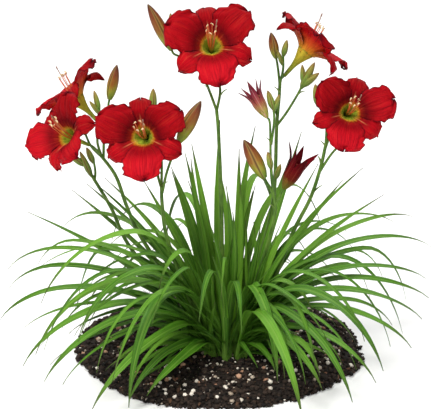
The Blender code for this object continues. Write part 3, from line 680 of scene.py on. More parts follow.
@dataclass(frozen=True)
class PetalFinish:
    """Velvet petal: green throat, yellow ring with an orange edge, dark eye, red limb and dark rim.

    The inside's bands follow the distance along the petal, with their borders feathered along the veins,
    and the outside goes from yellow-green through orange to red. The limb's red goes from dark to light
    with the petal's tone, which on an open bloom is partly painted shade on the upper petals and painted
    sheen on the lower ones. The rib is a paler line up its middle, the veins give darker streaks and
    lighter ones that are partly painted highlight, and the rim is dark and ragged, partly the petal's own
    edge colour and partly painted shade where the edge rolls back.
    """

    name: str
    inside: Stops
    outside: Stops
    limb_dark: Colour
    limb_light: Colour
    rim: Colour
    rib: Colour
    rib_reach: float
    rib_strength: float
    sheen: float = 0.03
    gloss: float = 0.035
    relief: float = 0.0016

    def material(self) -> bpy.types.Material:
        """The finish as a material."""
        s = Shader(self.name, Specular_IOR_Level=self.gloss, Sheen_Weight=self.sheen, Sheen_Roughness=0.35)
        s.surface.inputs["Sheen Tint"].default_value = (1.0, 0.18, 0.28, 1.0)
        across, along, side = s.mark()
        tone = s.tone()
        vein = s.streaks(21.0, 2.0, 23.0)
        broad = s.streaks(4.0, 3.0, 17.0, 2.0)
        at = s.plus(along, s.centred(vein, 0.11))
        # On an open bloom the tone runs from the upper petals to the lower ones, so this dark-to-light is
        # partly their own colour, partly painted shade above and painted sheen below.
        limb = s.blend(s.span(s.plus(tone, s.times(broad, 0.5)), 0.2, 1.2), self.limb_dark, self.limb_light)
        # The dark eye shows fully on the darker, upper petals and fades on the lighter, lower ones: partly
        # their own colour, partly painted shade and sheen.
        near_eye = s.times(s.span(at, 0.27, 0.36), s.span(tone, 0.35, 0.95, 0.0, 0.8))
        past_eye = s.calc("MAXIMUM", s.span(at, 0.32, 0.66), near_eye)
        front = s.blend(past_eye, s.ramp(at, self.inside), limb)
        colour = s.blend(s.calc("GREATER_THAN", side, 0.5), front, s.ramp(at, self.outside))
        rib = s.times(s.span(s.calc("ABSOLUTE", across), 0.01, 0.11, 1.0, 0.0),
                      s.span(along, self.rib_reach * 0.6, self.rib_reach, self.rib_strength, 0.0))
        colour = s.blend(rib, colour, self.rib)
        # Vein streaks: the darker ones are the petal's own veining, the lighter ones in the rib's colour are
        # partly painted highlight.
        colour = s.blend(s.span(vein, 0.48, 0.72, 0.0, 0.75), colour, s.blend(0.62, colour, self.rim))
        colour = s.blend(s.span(vein, 0.46, 0.28, 0.0, 0.3), colour, s.blend(0.35, colour, self.rib))
        # Dark rim along the edge and the end: partly the petal's own edge colour, partly painted shade where
        # the edge rolls back.
        edge = s.calc("MAXIMUM", s.calc("ABSOLUTE", across), s.times(along, 0.985))
        ragged_edge = s.plus(edge, s.centred(broad, 0.06))
        rim = s.times(s.span(ragged_edge, 0.915, 0.985), s.span(along, 0.25, 0.45, 0.0, 0.8))
        colour = s.blend(rim, colour, self.rim)
        s.bump(s.plus(vein, s.times(s.noise(s.place(), 900.0, 2.0), 0.25)), self.relief, 0.9)
        return s.finish(colour, s.plus(s.times(vein, 0.25), 0.36))


@dataclass(frozen=True)
class ThreadFinish:
    """Thread or anther that shades from one colour at its foot to another at its end, finely speckled."""

    name: str
    foot: Colour
    middle: Colour
    end: Colour
    grain: float = 0.3
    gloss: float = 0.2
    relief: float = 0.0004

    def material(self) -> bpy.types.Material:
        """The finish as a material."""
        s = Shader(self.name, Specular_IOR_Level=self.gloss)
        _, along, _ = s.mark()
        grain = s.noise(s.place(), 1400.0, 3.0)
        colour = s.ramp(along, ((0.0, self.foot), (0.5, self.middle), (1.0, self.end)))
        dark = s.blend(0.5, colour, (0.12, 0.05, 0.01))
        colour = s.blend(s.span(grain, 0.45, 0.75, 0.0, self.grain), colour, dark)
        s.bump(grain, self.relief, 0.6)
        return s.finish(colour, s.plus(s.times(grain, 0.3), 0.35))


@dataclass(frozen=True)
class EarthFinish:
    """Dark crumbly earth or loose grains, whose tone picks a colour and whose relief is fine.

    Fine noise and the tone go from the low colour to the high one, and a broader noise lays flecks.
    """

    name: str
    low: Colour
    high: Colour
    fleck: Colour
    grain: float = 420.0
    relief: float = 0.0016
    fleck_share: float = 0.35
    roughness: float = 0.75
    gloss: float = 0.3

    def material(self) -> bpy.types.Material:
        """The finish as a material."""
        s = Shader(self.name, Specular_IOR_Level=self.gloss)
        fine = s.noise(s.place(), self.grain, 4.0, 0.65)
        broad = s.noise(s.place(), self.grain / 9.0, 3.0)
        shade = s.plus(s.times(fine, 0.7), s.times(s.tone(), 0.6))
        colour = s.blend(s.span(shade, 0.3, 1.0), self.low, self.high)
        colour = s.blend(s.span(broad, 0.52, 0.75, 0.0, self.fleck_share), colour, self.fleck)
        s.bump(s.plus(fine, s.cells(s.place(), self.grain * 0.7)), self.relief, 0.8)
        return s.finish(colour, s.plus(s.times(fine, 0.2), self.roughness))


class Finish(Enum):
    """Every finish of the plant, each made once and shared by the pieces that wear it."""

    LEAF = LeafFinish("leaf_blade")
    STEM = StemFinish("stem_skin")
    BRACT = StemFinish("bract_skin", (0.08, 0.16, 0.025), (0.21, 0.29, 0.07), (0.2, 0.25, 0.08))
    GREEN_BUD = BudFinish("green_bud", ((0.0, (0.075, 0.15, 0.02)), (0.45, (0.15, 0.22, 0.035)),
                                        (0.8, (0.23, 0.21, 0.04)), (1.0, (0.20, 0.10, 0.025))))
    LARGE_BUD = BudFinish("large_bud", ((0.0, (0.10, 0.19, 0.018)), (0.25, (0.24, 0.25, 0.025)),
                                        (0.45, (0.23, 0.10, 0.016)), (0.75, (0.15, 0.032, 0.01)),
                                        (1.0, (0.06, 0.02, 0.01))))
    PETAL = PetalFinish(
        "petal_velvet",
        ((0.0, (0.13, 0.23, 0.015)), (0.10, (0.26, 0.34, 0.02)), (0.18, (0.46, 0.38, 0.03)),
         (0.235, (0.50, 0.20, 0.015)), (0.28, (0.26, 0.012, 0.006)), (0.40, (0.085, 0.001, 0.003)),
         (0.62, (0.17, 0.0012, 0.003))),
        ((0.0, (0.50, 0.37, 0.03)), (0.2, (0.68, 0.29, 0.025)), (0.38, (0.62, 0.09, 0.015)),
         (0.55, (0.50, 0.005, 0.008)), (1.0, (0.36, 0.0015, 0.005))),
        (0.19, 0.0006, 0.002), (0.49, 0.005, 0.013), (0.055, 0.0006, 0.005), (0.55, 0.08, 0.03), 0.44, 0.35)
    SEPAL = PetalFinish(
        "sepal_velvet",
        ((0.0, (0.16, 0.26, 0.02)), (0.10, (0.32, 0.36, 0.03)), (0.20, (0.50, 0.36, 0.035)),
         (0.27, (0.48, 0.16, 0.015)), (0.32, (0.28, 0.014, 0.006)), (0.45, (0.12, 0.0015, 0.004))),
        ((0.0, (0.47, 0.36, 0.03)), (0.2, (0.64, 0.30, 0.025)), (0.40, (0.57, 0.10, 0.015)),
         (0.6, (0.48, 0.006, 0.008)), (1.0, (0.34, 0.002, 0.005))),
        (0.20, 0.0007, 0.0025), (0.44, 0.003, 0.009), (0.05, 0.0006, 0.005), (0.72, 0.24, 0.10), 0.56, 0.7)
    TUBE = PetalFinish(
        "flower_tube",
        ((0.0, (0.05, 0.10, 0.008)), (0.5, (0.11, 0.19, 0.014)), (1.0, (0.20, 0.29, 0.02))),
        ((0.0, (0.14, 0.22, 0.03)), (0.45, (0.29, 0.31, 0.03)), (0.8, (0.42, 0.34, 0.03)),
         (1.0, (0.50, 0.35, 0.03))),
        (0.20, 0.28, 0.02), (0.30, 0.36, 0.03), (0.18, 0.15, 0.02), (0.4, 0.42, 0.05), 0.1, 0.1, 0.0)
    DARK_LOBE = PetalFinish(
        "dark_lobe",
        ((0.0, (0.20, 0.01, 0.008)), (0.5, (0.16, 0.002, 0.005)), (1.0, (0.12, 0.001, 0.004))),
        ((0.0, (0.13, 0.15, 0.02)), (0.09, (0.14, 0.075, 0.013)), (0.22, (0.12, 0.012, 0.005)),
         (0.5, (0.12, 0.003, 0.005)), (1.0, (0.06, 0.001, 0.004))),
        (0.06, 0.0008, 0.003), (0.15, 0.002, 0.006), (0.015, 0.0005, 0.002), (0.28, 0.05, 0.03), 0.9, 0.5)
    ROSE_LOBE = PetalFinish(
        "rose_lobe",
        ((0.0, (0.50, 0.25, 0.08)), (0.5, (0.42, 0.05, 0.05)), (1.0, (0.4, 0.03, 0.04))),
        ((0.0, (0.30, 0.34, 0.05)), (0.2, (0.42, 0.26, 0.09)), (0.42, (0.34, 0.08, 0.06)),
         (0.7, (0.26, 0.035, 0.055)), (1.0, (0.14, 0.010, 0.026))),
        (0.14, 0.008, 0.022), (0.30, 0.04, 0.06), (0.04, 0.001, 0.007), (0.62, 0.30, 0.28), 1.3, 0.8)
    FILAMENT = ThreadFinish("filament", (0.40, 0.38, 0.03), (0.55, 0.12, 0.02), (0.66, 0.16, 0.06))
    STYLE = ThreadFinish("style", (0.36, 0.34, 0.05), (0.45, 0.18, 0.08), (0.22, 0.12, 0.09))
    ANTHER = ThreadFinish("anther", (0.50, 0.36, 0.16), (0.82, 0.66, 0.42), (0.38, 0.24, 0.10), 0.35)
    SOIL = EarthFinish("soil_earth", (0.003, 0.002, 0.0015), (0.020, 0.013, 0.009), (0.04, 0.024, 0.015))
    CRUMB = EarthFinish("soil_crumb", (0.003, 0.002, 0.0015), (0.036, 0.022, 0.015), (0.11, 0.066, 0.042),
                        700.0, 0.0009)
    PERLITE = EarthFinish("perlite_grain", (0.34, 0.27, 0.20), (0.84, 0.78, 0.68), (0.42, 0.30, 0.20),
                          900.0, 0.0006, 0.35)
    GRIT = EarthFinish("grit_grain", (0.16, 0.06, 0.03), (0.58, 0.34, 0.22), (0.36, 0.18, 0.11),
                       700.0, 0.0006, 0.3, 0.6)
    BARK = EarthFinish("bark_sliver", (0.025, 0.012, 0.007), (0.13, 0.065, 0.035), (0.22, 0.13, 0.08),
                       500.0, 0.0009, 0.3)

    def material(self) -> bpy.types.Material:
        """The finish's one material, made on first use."""
        return bpy.data.materials.get(self.value.name) or self.value.material()


def oval_rings(x: float, y: float, turn: float, sides: int, heights: np.ndarray, long_radii: np.ndarray,
               short_radii: np.ndarray, ridges: tuple[float, int]) -> np.ndarray:
    """Level oval rings, stacked, whose long axis is turned to an azimuth.

    A ring's point at an angle lies at its two radii times the angle's cosine and sine, and the radius
    swells by a cosine of a multiple of the angle.

    Args:
        x: where the middle of the rings is along X.
        y: where it is along Y.
        turn: azimuth of the long axis, in radians.
        sides: points to a ring.
        heights: height of each ring.
        long_radii: half of each ring's length.
        short_radii: half of each ring's width.
        ridges: share by which the radius swells, and how many times round.

    Returns:
        A grid of points, one ring to a row.
    """
    angle = np.arange(sides) * 2 * math.pi / sides
    swell = 1 + ridges[0] * np.cos(ridges[1] * angle)
    a = long_radii[:, None] * swell * np.cos(angle)
    b = short_radii[:, None] * swell * np.sin(angle)
    c, s = math.cos(turn), math.sin(turn)
    z = np.broadcast_to(heights[:, None], a.shape)
    return np.stack([x + a * c - b * s, y + a * s + b * c, z], axis=2)


# A leaf that arches over: azimuth, reach of the tip, its height, reach and height of the highest point,
# width. A leaf that still rises at its tip: azimuth, reach of the tip, its height, width.
Leaf = tuple[float, ...]


@dataclass
class LeafFan:
    """A fan of leaves on one neck: every named leaf, drawn ones, and shorter ones that fill its middle.

    A leaf's midline is one or two cubic curves, and bows a little sideways. Its cross section is a
    channel that opens from root to tip, and its half width swells to a third of the length and is drawn
    out to a point. Middle and half are the azimuth and half the angle of the fan's wedge, and distance is
    from the crown to the neck. Slim is the share of the solid leaves' width that is left, tones are the
    darkest and the lightest, and extra is the number of shorter leaves.
    """

    name: str
    number: int
    middle: float
    half: float
    distance: float
    arching: list[Leaf]
    upright: list[Leaf]
    slim: float
    tones: tuple[float, float]
    extra: int
    rows: int = 30
    channel: float = 0.46
    thickness: float = 1.5
    sway: float = 0.035

    def crown_point(self, azimuth: float, reach: float, height: float) -> np.ndarray:
        """The point at that azimuth and level distance from the crown, at that height."""
        turn = math.radians(azimuth)
        return CROWN + np.array([reach * math.cos(turn), reach * math.sin(turn), height])

    def limit(self) -> float:
        """Largest angle between a leaf and the wedge's middle."""
        return self.half - WEDGE_MARGIN

    def foot(self) -> np.ndarray:
        """Middle of the neck, on the soil."""
        x, y, _ = self.crown_point(self.middle, self.distance, 0.0)
        return point(x, y, float(soil_height(x, y)))

    def drawn_leaf(self, rng: random.Random) -> Leaf:
        """Draws a leaf of the solid, arching over or upright, inside the fan's wedge.

        Args:
            rng: source of the random numbers.

        Returns:
            The leaf.
        """
        azimuth = self.middle + self.limit() * rng.uniform(-1, 1)
        width = rng.uniform(14, 18)
        if rng.random() < 0.5:
            reach = rng.uniform(150, 235)
            top = rng.uniform(120, 200)
            return (azimuth, reach, top * rng.uniform(0.35, 0.6), 0.62 * reach, top, width)
        return (azimuth, rng.uniform(70, 170), rng.uniform(200, 280), width)

    def filling_leaf(self, rng: random.Random) -> Leaf:
        """Draws a shorter, narrower leaf for the middle of the clump.

        Args:
            rng: source of the random numbers.

        Returns:
            The leaf.
        """
        azimuth = self.middle + self.limit() * rng.uniform(-1, 1)
        width = rng.uniform(6.5, 12)
        longest = max(leaf[1] for leaf in self.arching)
        kind = rng.random()
        # One in five is short and stands up
        if kind > 0.8:
            return (azimuth, rng.uniform(0.2, 0.45) * longest, rng.uniform(55, 130), 0.85 * width)
        # The fan at the front has no long leaf, and its leaves spread out to both sides like a fountain
        if longest < 150:
            azimuth = self.middle + 4.4 * (azimuth - self.middle)
            reach = rng.uniform(0.25, 0.95) * longest
            return (azimuth, reach, rng.uniform(95, 225) - 0.25 * reach, 0.95 * width)
        # Low arches, then high ones
        if kind < 0.22:
            reach = longest * rng.uniform(0.35, 0.6)
            top = rng.uniform(40, 90)
            return (azimuth, reach, 18 + top * rng.uniform(0.0, 0.4), 0.55 * reach, top, width)
        if kind < 0.55:
            reach = longest * rng.uniform(0.5, 0.92)
            top = rng.uniform(90, 180)
            return (azimuth, reach, top * rng.uniform(0.3, 0.75), rng.uniform(0.5, 0.68) * reach, top, width)
        # The rest stand up, and spread wider than the wedge
        reach = rng.uniform(0.1, 0.55) * longest
        azimuth = self.middle + 1.8 * (azimuth - self.middle)
        return (azimuth, reach, rng.uniform(80, 215) - 0.2 * reach, 0.9 * width)

    def leaves(self, rng: random.Random) -> list[Leaf]:
        """Lists the leaves of the solid, held inside the fan's wedge.

        Args:
            rng: source of the random numbers.

        Returns:
            The leaves, sorted by their reach.
        """
        limit = self.limit()
        leaves = self.arching + self.upright
        leaves = leaves + [self.drawn_leaf(rng) for _ in range(LEAVES_PER_FAN - len(leaves))]
        held = []
        for azimuth, *rest in leaves:
            offset = (azimuth - self.middle + 180) % 360 - 180
            held.append((self.middle + max(-limit, min(limit, offset)), *rest))
        return sorted(held, key=lambda leaf: leaf[1])

    def arching_route(self, foot: np.ndarray, leaf: Leaf) -> np.ndarray:
        """Draws a midline that climbs steeply, is level at its highest point and comes down to its tip.

        Args:
            foot: where the leaf starts.
            leaf: a leaf that arches over.

        Returns:
            The midline's points, on two cubic curves that meet at the highest point.
        """
        azimuth, reach, tip_height, top_reach, top_height, _ = leaf
        top = self.crown_point(azimuth, top_reach, top_height)
        tip = self.crown_point(azimuth, reach, tip_height)
        climb, run = (top - foot) * LEVEL_ONLY, (tip - top) * LEVEL_ONLY
        drop, rise = (top - tip) * UP, (top - foot) * UP
        ahead = unit(unit(climb) + unit(run))
        first = bezier((foot, foot + CLIMB[0] * climb + CLIMB[1] * rise,
                        top - LEVEL * np.linalg.norm(climb) * ahead, top), ARCH_POINTS)
        second = bezier((top, top + LEVEL * np.linalg.norm(run) * ahead,
                         tip - FALL[0] * run + FALL[1] * drop, tip), ARCH_POINTS)
        return np.vstack([first, second[1:]])

    def upright_route(self, foot: np.ndarray, leaf: Leaf) -> np.ndarray:
        """Draws a midline that climbs steeply and leans out towards its tip.

        Args:
            foot: where the leaf starts.
            leaf: a leaf that still rises at its tip.

        Returns:
            The midline's points, on one cubic curve.
        """
        azimuth, reach, height, _ = leaf
        tip = self.crown_point(azimuth, reach, height)
        run, rise = (tip - foot) * LEVEL_ONLY, (tip - foot) * UP
        return bezier((foot, foot + LEAN_LOW[0] * run + LEAN_LOW[1] * rise,
                       tip - LEAN_HIGH[0] * run - LEAN_HIGH[1] * rise, tip), UPRIGHT_POINTS)

    def lifted(self, route: np.ndarray) -> np.ndarray:
        """Raises a midline where it would run into the soil or the floor, beyond its root.

        Args:
            route: the midline's points.

        Returns:
            The raised points.
        """
        out = route.copy()
        on_bed = np.hypot(route[:, 0], route[:, 1]) < SOIL_RADIUS * (1 + 2 * RIM_WANDER)
        floor = np.where(on_bed, soil_height(route[:, 0], route[:, 1]) + SOIL_CLEARANCE, GROUND_CLEARANCE)
        free = smoothstep(0.12, 0.3, np.linspace(0, 1, len(route)))
        out[:, 2] += free * np.maximum(0.0, floor - route[:, 2])
        return out

    def blade(self, piece: Piece, foot: np.ndarray, leaf: Leaf, rng: random.Random) -> None:
        """Adds one leaf.

        The midline bows sideways by half a sine wave. Across the blade, a point at share s lies s half
        widths to the side and sinks by the channel's depth times one less |s|^1.4. The edges ripple by a
        slow sine, and the roll turns the upper face to the front. The thickness is greatest on the midrib.

        Args:
            piece: the fan's mesh.
            foot: where the leaf starts.
            leaf: the leaf.
            rng: source of the random numbers for its twist, its ripple and its tone.
        """
        route = self.arching_route(foot, leaf) if len(leaf) == 6 else self.upright_route(foot, leaf)
        route = np.vstack([foot * LEVEL_ONLY + UP * (self.foot()[2] - LEAF_ROOT_DEPTH), route])
        route = self.lifted(evenly(route, self.rows))
        heading = unit((route[-1] - route[0]) * LEVEL_ONLY)
        across = np.array([-heading[1], heading[0], 0.0])
        t = np.linspace(0, 1, self.rows)
        sway = self.sway * np.linalg.norm(route[-1] - route[0]) * math.sin(7.3 * leaf[0] + leaf[1])
        route = route + across * (sway * np.sin(math.pi * t ** 1.3))[:, None]
        tangents = unit(np.gradient(route, axis=0))
        turn = -math.radians(LEAF_ROLL) * heading[0] * np.clip(2.5 * t, 0, 1)
        turn = turn + math.radians(rng.uniform(-9, 9)) * t + math.radians(rng.uniform(-7, 7)) * np.sin(5 * t)
        under = np.cross(across, tangents)
        side = across * np.cos(turn)[:, None] + under * np.sin(turn)[:, None]
        under = np.cross(side, tangents)
        width = leaf[-1] * self.slim
        full = LEAF_ROOT_WIDTH / width + (1 - LEAF_ROOT_WIDTH / width) * smoothstep(0, SWELL_END, t)
        half = np.maximum(0.5 * width * full * (1 - t ** TAPER[0]) ** TAPER[1], LEAST_HALF_WIDTH)
        s = BLADE_COLUMNS
        depth = self.channel * half * (1.55 - 0.85 * smoothstep(0.0, 0.5, t))
        sink = depth[:, None] * (1 - np.abs(s) ** 1.4) - 0.35 * depth[:, None]
        phase = rng.uniform(0, 6.28)  # about one full turn
        ripple = 0.09 * half[:, None] * s**2 * np.sin(19 * t[:, None] + phase + 1.1 * s)
        middle = (route[:, None] + side[:, None] * (half[:, None] * s)[:, :, None]
                  + under[:, None] * (sink + ripple)[:, :, None])
        thick = self.thickness * (0.35 + 0.65 * np.exp(-((s / 0.22) ** 2))) * (half[:, None] / half.max())
        # The tone is random within the fan's range, which is partly painted light and shade (see FANS).
        darkest, lightest = self.tones
        tone = darkest + (lightest - darkest) * rng.random()
        piece.shell(middle, np.maximum(thick, 0.12), grid_marks(s, t), tone)

    def neck(self, piece: Piece) -> None:
        """Adds the neck, a ribbed oval of leaf sheaths that narrows upwards by two straight slopes."""
        x, y, ground = self.foot()
        rise = np.array([-HOLE_DEPTH, 0.0, 6.0, 12.0, 22.0, 34.0, 44.0])
        share = np.interp(rise, (-HOLE_DEPTH, 12.0, 44.0), (1.0, 0.97, 0.5))
        share = share * np.interp(rise, (0.0, 12.0, 44.0), (0.9, 0.72, 0.5))
        rings = oval_rings(x, y, math.radians(self.middle), 36, ground + rise, NECK_LONG * share,
                           NECK_SHORT * share, (0.09, 9))
        piece.loft(rings, np.linspace(0.0, 0.12, len(rise)), 0.5)

    def build(self) -> None:
        """Makes the fan as one object."""
        piece = Piece(self.name.replace("fan", "leaves"))
        self.neck(piece)
        rng, dress = random.Random(LEAF_SEED + self.number), random.Random(EXTRA_SEED + self.number)
        leaves = self.leaves(rng)
        base, ahead = self.foot(), self.crown_point(self.middle, 1.0, 0.0) - CROWN
        for rank, leaf in enumerate(leaves):
            along = (rank / (len(leaves) - 1) - 0.5) * 2 * FOOT_SPREAD * NECK_LONG
            foot = base + ahead * along + UP * (FAN_ROOT_Z + FOOT_RISE * rng.random())
            self.blade(piece, foot, leaf, dress)
        for _ in range(self.extra):
            leaf = self.filling_leaf(dress)
            azimuth = self.middle + 0.9 * self.limit() * dress.uniform(-1, 1)
            foot = self.crown_point(azimuth, self.distance * dress.uniform(0.6, 1.25), base[2] + 4.0)
            self.blade(piece, foot, leaf, dress)
        piece.put((Finish.LEAF,), "leaf", self.name)


def bloom_frame(axis: np.ndarray) -> np.ndarray:
    """Rows: a bloom's right and its up, as seen by someone whom it faces, and its axis."""
    axis = unit(axis)
    right = unit(np.cross(UP, axis))
    return np.array([right, np.cross(axis, right), axis])


def turned(points: np.ndarray, turn: float) -> np.ndarray:
    """Points turned about +Z by an angle in radians."""
    c, s = math.cos(turn), math.sin(turn)
    return np.asarray(points, float) @ np.array([[c, s, 0.0], [-s, c, 0.0], [0.0, 0.0, 1.0]])


def bud_rings(base: np.ndarray, tip: np.ndarray, width: float, profile: Profile, rows: int, sides: int,
              groove: float) -> tuple[np.ndarray, np.ndarray]:
    """Rings of a closed bud with three seams between its outer leaves.

    The radius follows a smooth curve through the profile. It is cut in by a narrow groove at each of
    three seams, as a bell curve of the angle from the seam, and swells a little between them.

    Args:
        base: foot of the bud.
        tip: its end.
        width: its full width.
        profile: (share of the length, share of the width), from foot to tip.
        rows: number of rings.
        sides: points to a ring.
        groove: depth of a seam as a share of the radius.

    Returns:
        The rings, and how far along the bud each one is.
    """
    right, up, axis = bloom_frame(tip - base)
    length = float(np.linalg.norm(tip - base))
    share, wide = through(np.array(profile), rows).T
    radius = 0.5 * width * np.maximum(wide, 0.03)
    angle = np.arange(sides) * 2 * math.pi / sides - math.pi
    near = (angle + math.pi / 3) % (2 * math.pi / 3) - math.pi / 3
    depth = groove * np.exp(-((near / 0.16) ** 2))
    depth = depth - 0.3 * groove * np.exp(-(((np.abs(near) - 0.6) / 0.5) ** 2))
    twist = 0.35 * share[:, None]
    r = radius[:, None] * (1 - depth[None, :] * smoothstep(0.02, 0.3, share)[:, None])
    x, y = r * np.cos(angle + twist), r * np.sin(angle + twist)
    line = base + axis * (length * share)[:, None]
    return line[:, None] + x[:, :, None] * right + y[:, :, None] * up, share


LARGE_BUD_PROFILE = ((0.0, 0.42), (0.16, 0.78), (0.42, 1.0), (0.68, 0.86), (0.88, 0.50), (1.0, 0.12))
SMALL_BUD_PROFILE = ((0.0, 0.42), (0.15, 0.78), (0.35, 1.0), (0.68, 0.84), (0.88, 0.5), (1.0, 0.15))


@dataclass
class Bud:
    """A large closed bud at the end of a twig."""

    name: str
    base: Place
    tip: Place
    width: float
    sides: int = 48
    rows: int = 34
    groove: float = 0.10

    def tone(self) -> float:
        """One of seven tones from 0 to 1, picked by the letters of the bud's name."""
        return (sum(map(ord, self.name)) % 7) / 7

    def build(self) -> None:
        """Makes the bud as one object."""
        piece = Piece(self.name.replace("bud", "closed"))
        rings, along = bud_rings(point(*self.base), point(*self.tip), self.width, LARGE_BUD_PROFILE,
                                 self.rows, self.sides, self.groove)
        piece.loft(rings, along, self.tone())
        piece.put((Finish.LARGE_BUD,), "bud", self.name)


@dataclass
class HalfOpenFlower:
    """A flower that has begun to open: a swollen body and six pointed lobes that part at its end.

    A lobe is a blade curled about the flower's axis. Its midline is a smooth curve of (share of the
    length, share of the width outwards, the same for how far it has opened). The widths are the half
    widths of a lobe along it, on a flower of the plain width, and the three inner lobes open by the first
    of the spreads and the three outer ones by the second.
    """

    name: str
    base: Place
    tip: Place
    width: float
    lobe: Finish
    body: Profile = ((0.0, 0.24), (0.12, 0.52), (0.35, 0.84), (0.58, 0.80), (0.75, 0.5))
    body_width: float = 0.94
    line: tuple[Place, ...] = ((0.16, 0.26, 0.0), (0.42, 0.41, 0.0), (0.66, 0.38, 0.10),
                               (0.92, 0.34, 0.45), (1.20, 0.40, 1.0))
    widths: tuple[float, ...] = (2.4, 6.0, 6.0, 4.3, 0.25)
    plain_width: float = 22.0
    spreads: tuple[float, float] = (0.30, 0.66)
    first_turn: float = 15.0
    thickness: float = 0.9
    rows: int = 26
    columns: int = 11

    def add_body(self, piece: Piece) -> None:
        """Adds the swollen body, a bud that the lobes hide the end of."""
        profile = through(np.array(self.body), 16)
        rings, along = bud_rings(point(*self.base), point(*self.tip), self.width * self.body_width,
                                 tuple(map(tuple, profile)), 24, 42, 0.05)
        piece.loft(rings, along * 0.4, 0.4, side=1.0)

    def add_lobe(self, piece: Piece, k: int) -> None:
        """Adds one lobe, which lies on an arc about the flower's axis and ripples a little.

        Args:
            piece: the flower's mesh.
            k: the lobe's number, from 0 to 5; the even ones are the inner three.
        """
        base, tip = point(*self.base), point(*self.tip)
        length = float(np.linalg.norm(tip - base))
        right, up, axis = bloom_frame(tip - base)
        t, s = np.linspace(0, 1, self.rows), np.linspace(-1, 1, self.columns)
        share, out, more = through(np.array(self.line), self.rows).T
        half = np.maximum(through(np.array(self.widths), self.rows), 0.25) * self.width / self.plain_width
        angle = math.radians(60 * k + self.first_turn)
        away = math.cos(angle) * right + math.sin(angle) * up
        beside = -math.sin(angle) * right + math.cos(angle) * up
        reach = self.width * (out + self.spreads[k % 2] * more) + 0.35 * (k % 2)
        bend = np.maximum(reach * 1.05, 5.0)
        turn = half[:, None] * s / bend[:, None]
        drawn_in = bend[:, None] * (1 - np.cos(turn)) * (1 - 0.5 * t[:, None])
        wave = 0.35 * s**2 * np.sin(13 * t[:, None] + k + 1.5 * s) * t[:, None]
        middle = (base + axis * (length * share)[:, None, None]
                  + away * (reach[:, None] - drawn_in + wave)[:, :, None]
                  + beside * (bend[:, None] * np.sin(turn))[:, :, None])
        thick = self.thickness * (1 - 0.6 * s**2) * (1 - 0.5 * t[:, None])
        piece.shell(middle, thick, grid_marks(s, t), 0.15 + 0.13 * k)

    def build(self) -> None:
        """Makes the flower as one object."""
        piece = Piece(self.name.replace("opening", "half_open"))
        self.add_body(piece)
        for k in range(6):
            self.add_lobe(piece, k)
        piece.put((self.lobe,), "half_open", self.name)


@dataclass
class FlowerStem:
    """A flower stem with its twigs, small green buds and bracts.

    The stem runs along a smooth curve through its points with a radius that shrinks evenly, and its skin
    has shallow ribs, given by their height and their number. A bract is a short pointed scale folded about
    its midrib.
    """

    name: str
    route: list[tuple[float, ...]]
    twigs: list[tuple[list[Place], str | None]]
    buds: list[tuple[Place, Place, float]]
    bracts: list[tuple[Place, Place, float]]
    radii: tuple[float, float] = (3.4, 2.3)
    ribs: tuple[float, int] = (0.045, 5)
    twig_radii: tuple[float, float] = (1.9, 1.5)
    twig_ribs: tuple[float, int] = (0.03, 4)
    twig_lead: float = 7.0
    bud_groove: float = 0.08
    bract_width: float = 6.0

    def main_route(self) -> np.ndarray:
        """Draws the stem's midline, which starts upright in its hole.

        Returns:
            The midline's points.
        """
        (x, y), *rest = self.route
        ground = float(soil_height(x, y))
        rows = [(x, y, ground + HOLE_DEPTH), *rest]
        line = evenly(through(np.array(rows, float), 24 * len(rows)), 64)
        return np.vstack([(x, y, ground - HOLE_DEPTH), (x, y, ground), line])

    def twig_route(self, points: list[Place], carries: str | None) -> np.ndarray:
        """Draws a twig's midline, which ends just short of the foot of what it carries.

        Args:
            points: places that it passes.
            carries: name of the bloom or large bud at its end, if any.

        Returns:
            The midline's points, on a smooth curve.
        """
        rows = np.array(points, float)
        if carries is not None:
            foot, way = carried_foot(carries)
            rows = np.vstack([rows, foot - way * self.twig_lead, foot - way * 0.1])
        return evenly(through(rows, 20 * len(rows)), 12 + 4 * len(rows))

    def bract(self, piece: Piece, at: np.ndarray, towards: np.ndarray, length: float) -> None:
        """Adds a bract: a pointed, folded scale that stands off the stem.

        Args:
            piece: the stem's mesh.
            at: where it starts.
            towards: its direction, of length one.
            length: its length.
        """
        t, s = np.linspace(0, 1, 14), np.linspace(-1, 1, 7)
        side = unit(np.cross(towards, UP) + np.array([1e-4, 0.0, 0.0]))
        lift = np.cross(side, towards)
        half = np.maximum(0.5 * self.bract_width * (0.75 + 0.6 * t) * (1 - t**1.6) ** 0.8, 0.12)
        line = at + towards * (length * t)[:, None] + lift * (2.2 * np.sin(2.6 * t))[:, None]
        cup = (0.75 * half * (1 - t * 0.4))[:, None] * np.abs(s) ** 1.5
        middle = line[:, None] + side * (half[:, None] * s)[:, :, None] + lift * cup[:, :, None]
        thick = np.maximum(0.9 * (1 - 0.7 * np.abs(s)) * (1 - 0.6 * t[:, None]), 0.1)
        piece.shell(middle, thick, grid_marks(s, t), 0.6, 2)

    def build(self) -> None:
        """Makes the stem as one object."""
        piece = Piece(self.name.replace("stem", "scape"))
        route = self.main_route()
        piece.tube(route, np.linspace(*self.radii, len(route)), 20, 0.4, 0, self.ribs)
        for points, carries in self.twigs:
            line = self.twig_route(points, carries)
            piece.tube(line, np.linspace(*self.twig_radii, len(line)), 14, 0.6, 0, self.twig_ribs)
        for number, (base, tip, width) in enumerate(self.buds):
            rings, along = bud_rings(point(*base), point(*tip), width, SMALL_BUD_PROFILE, 22, 30,
                                     self.bud_groove)
            piece.loft(rings, along, 0.17 * number, 1)
        for at, towards, length in self.bracts:
            self.bract(piece, point(*at), unit(point(*towards)), length)
        piece.put((Finish.STEM, Finish.GREEN_BUD, Finish.BRACT), "stem", self.name)


FINE = 200  # values of a curve that is read between them


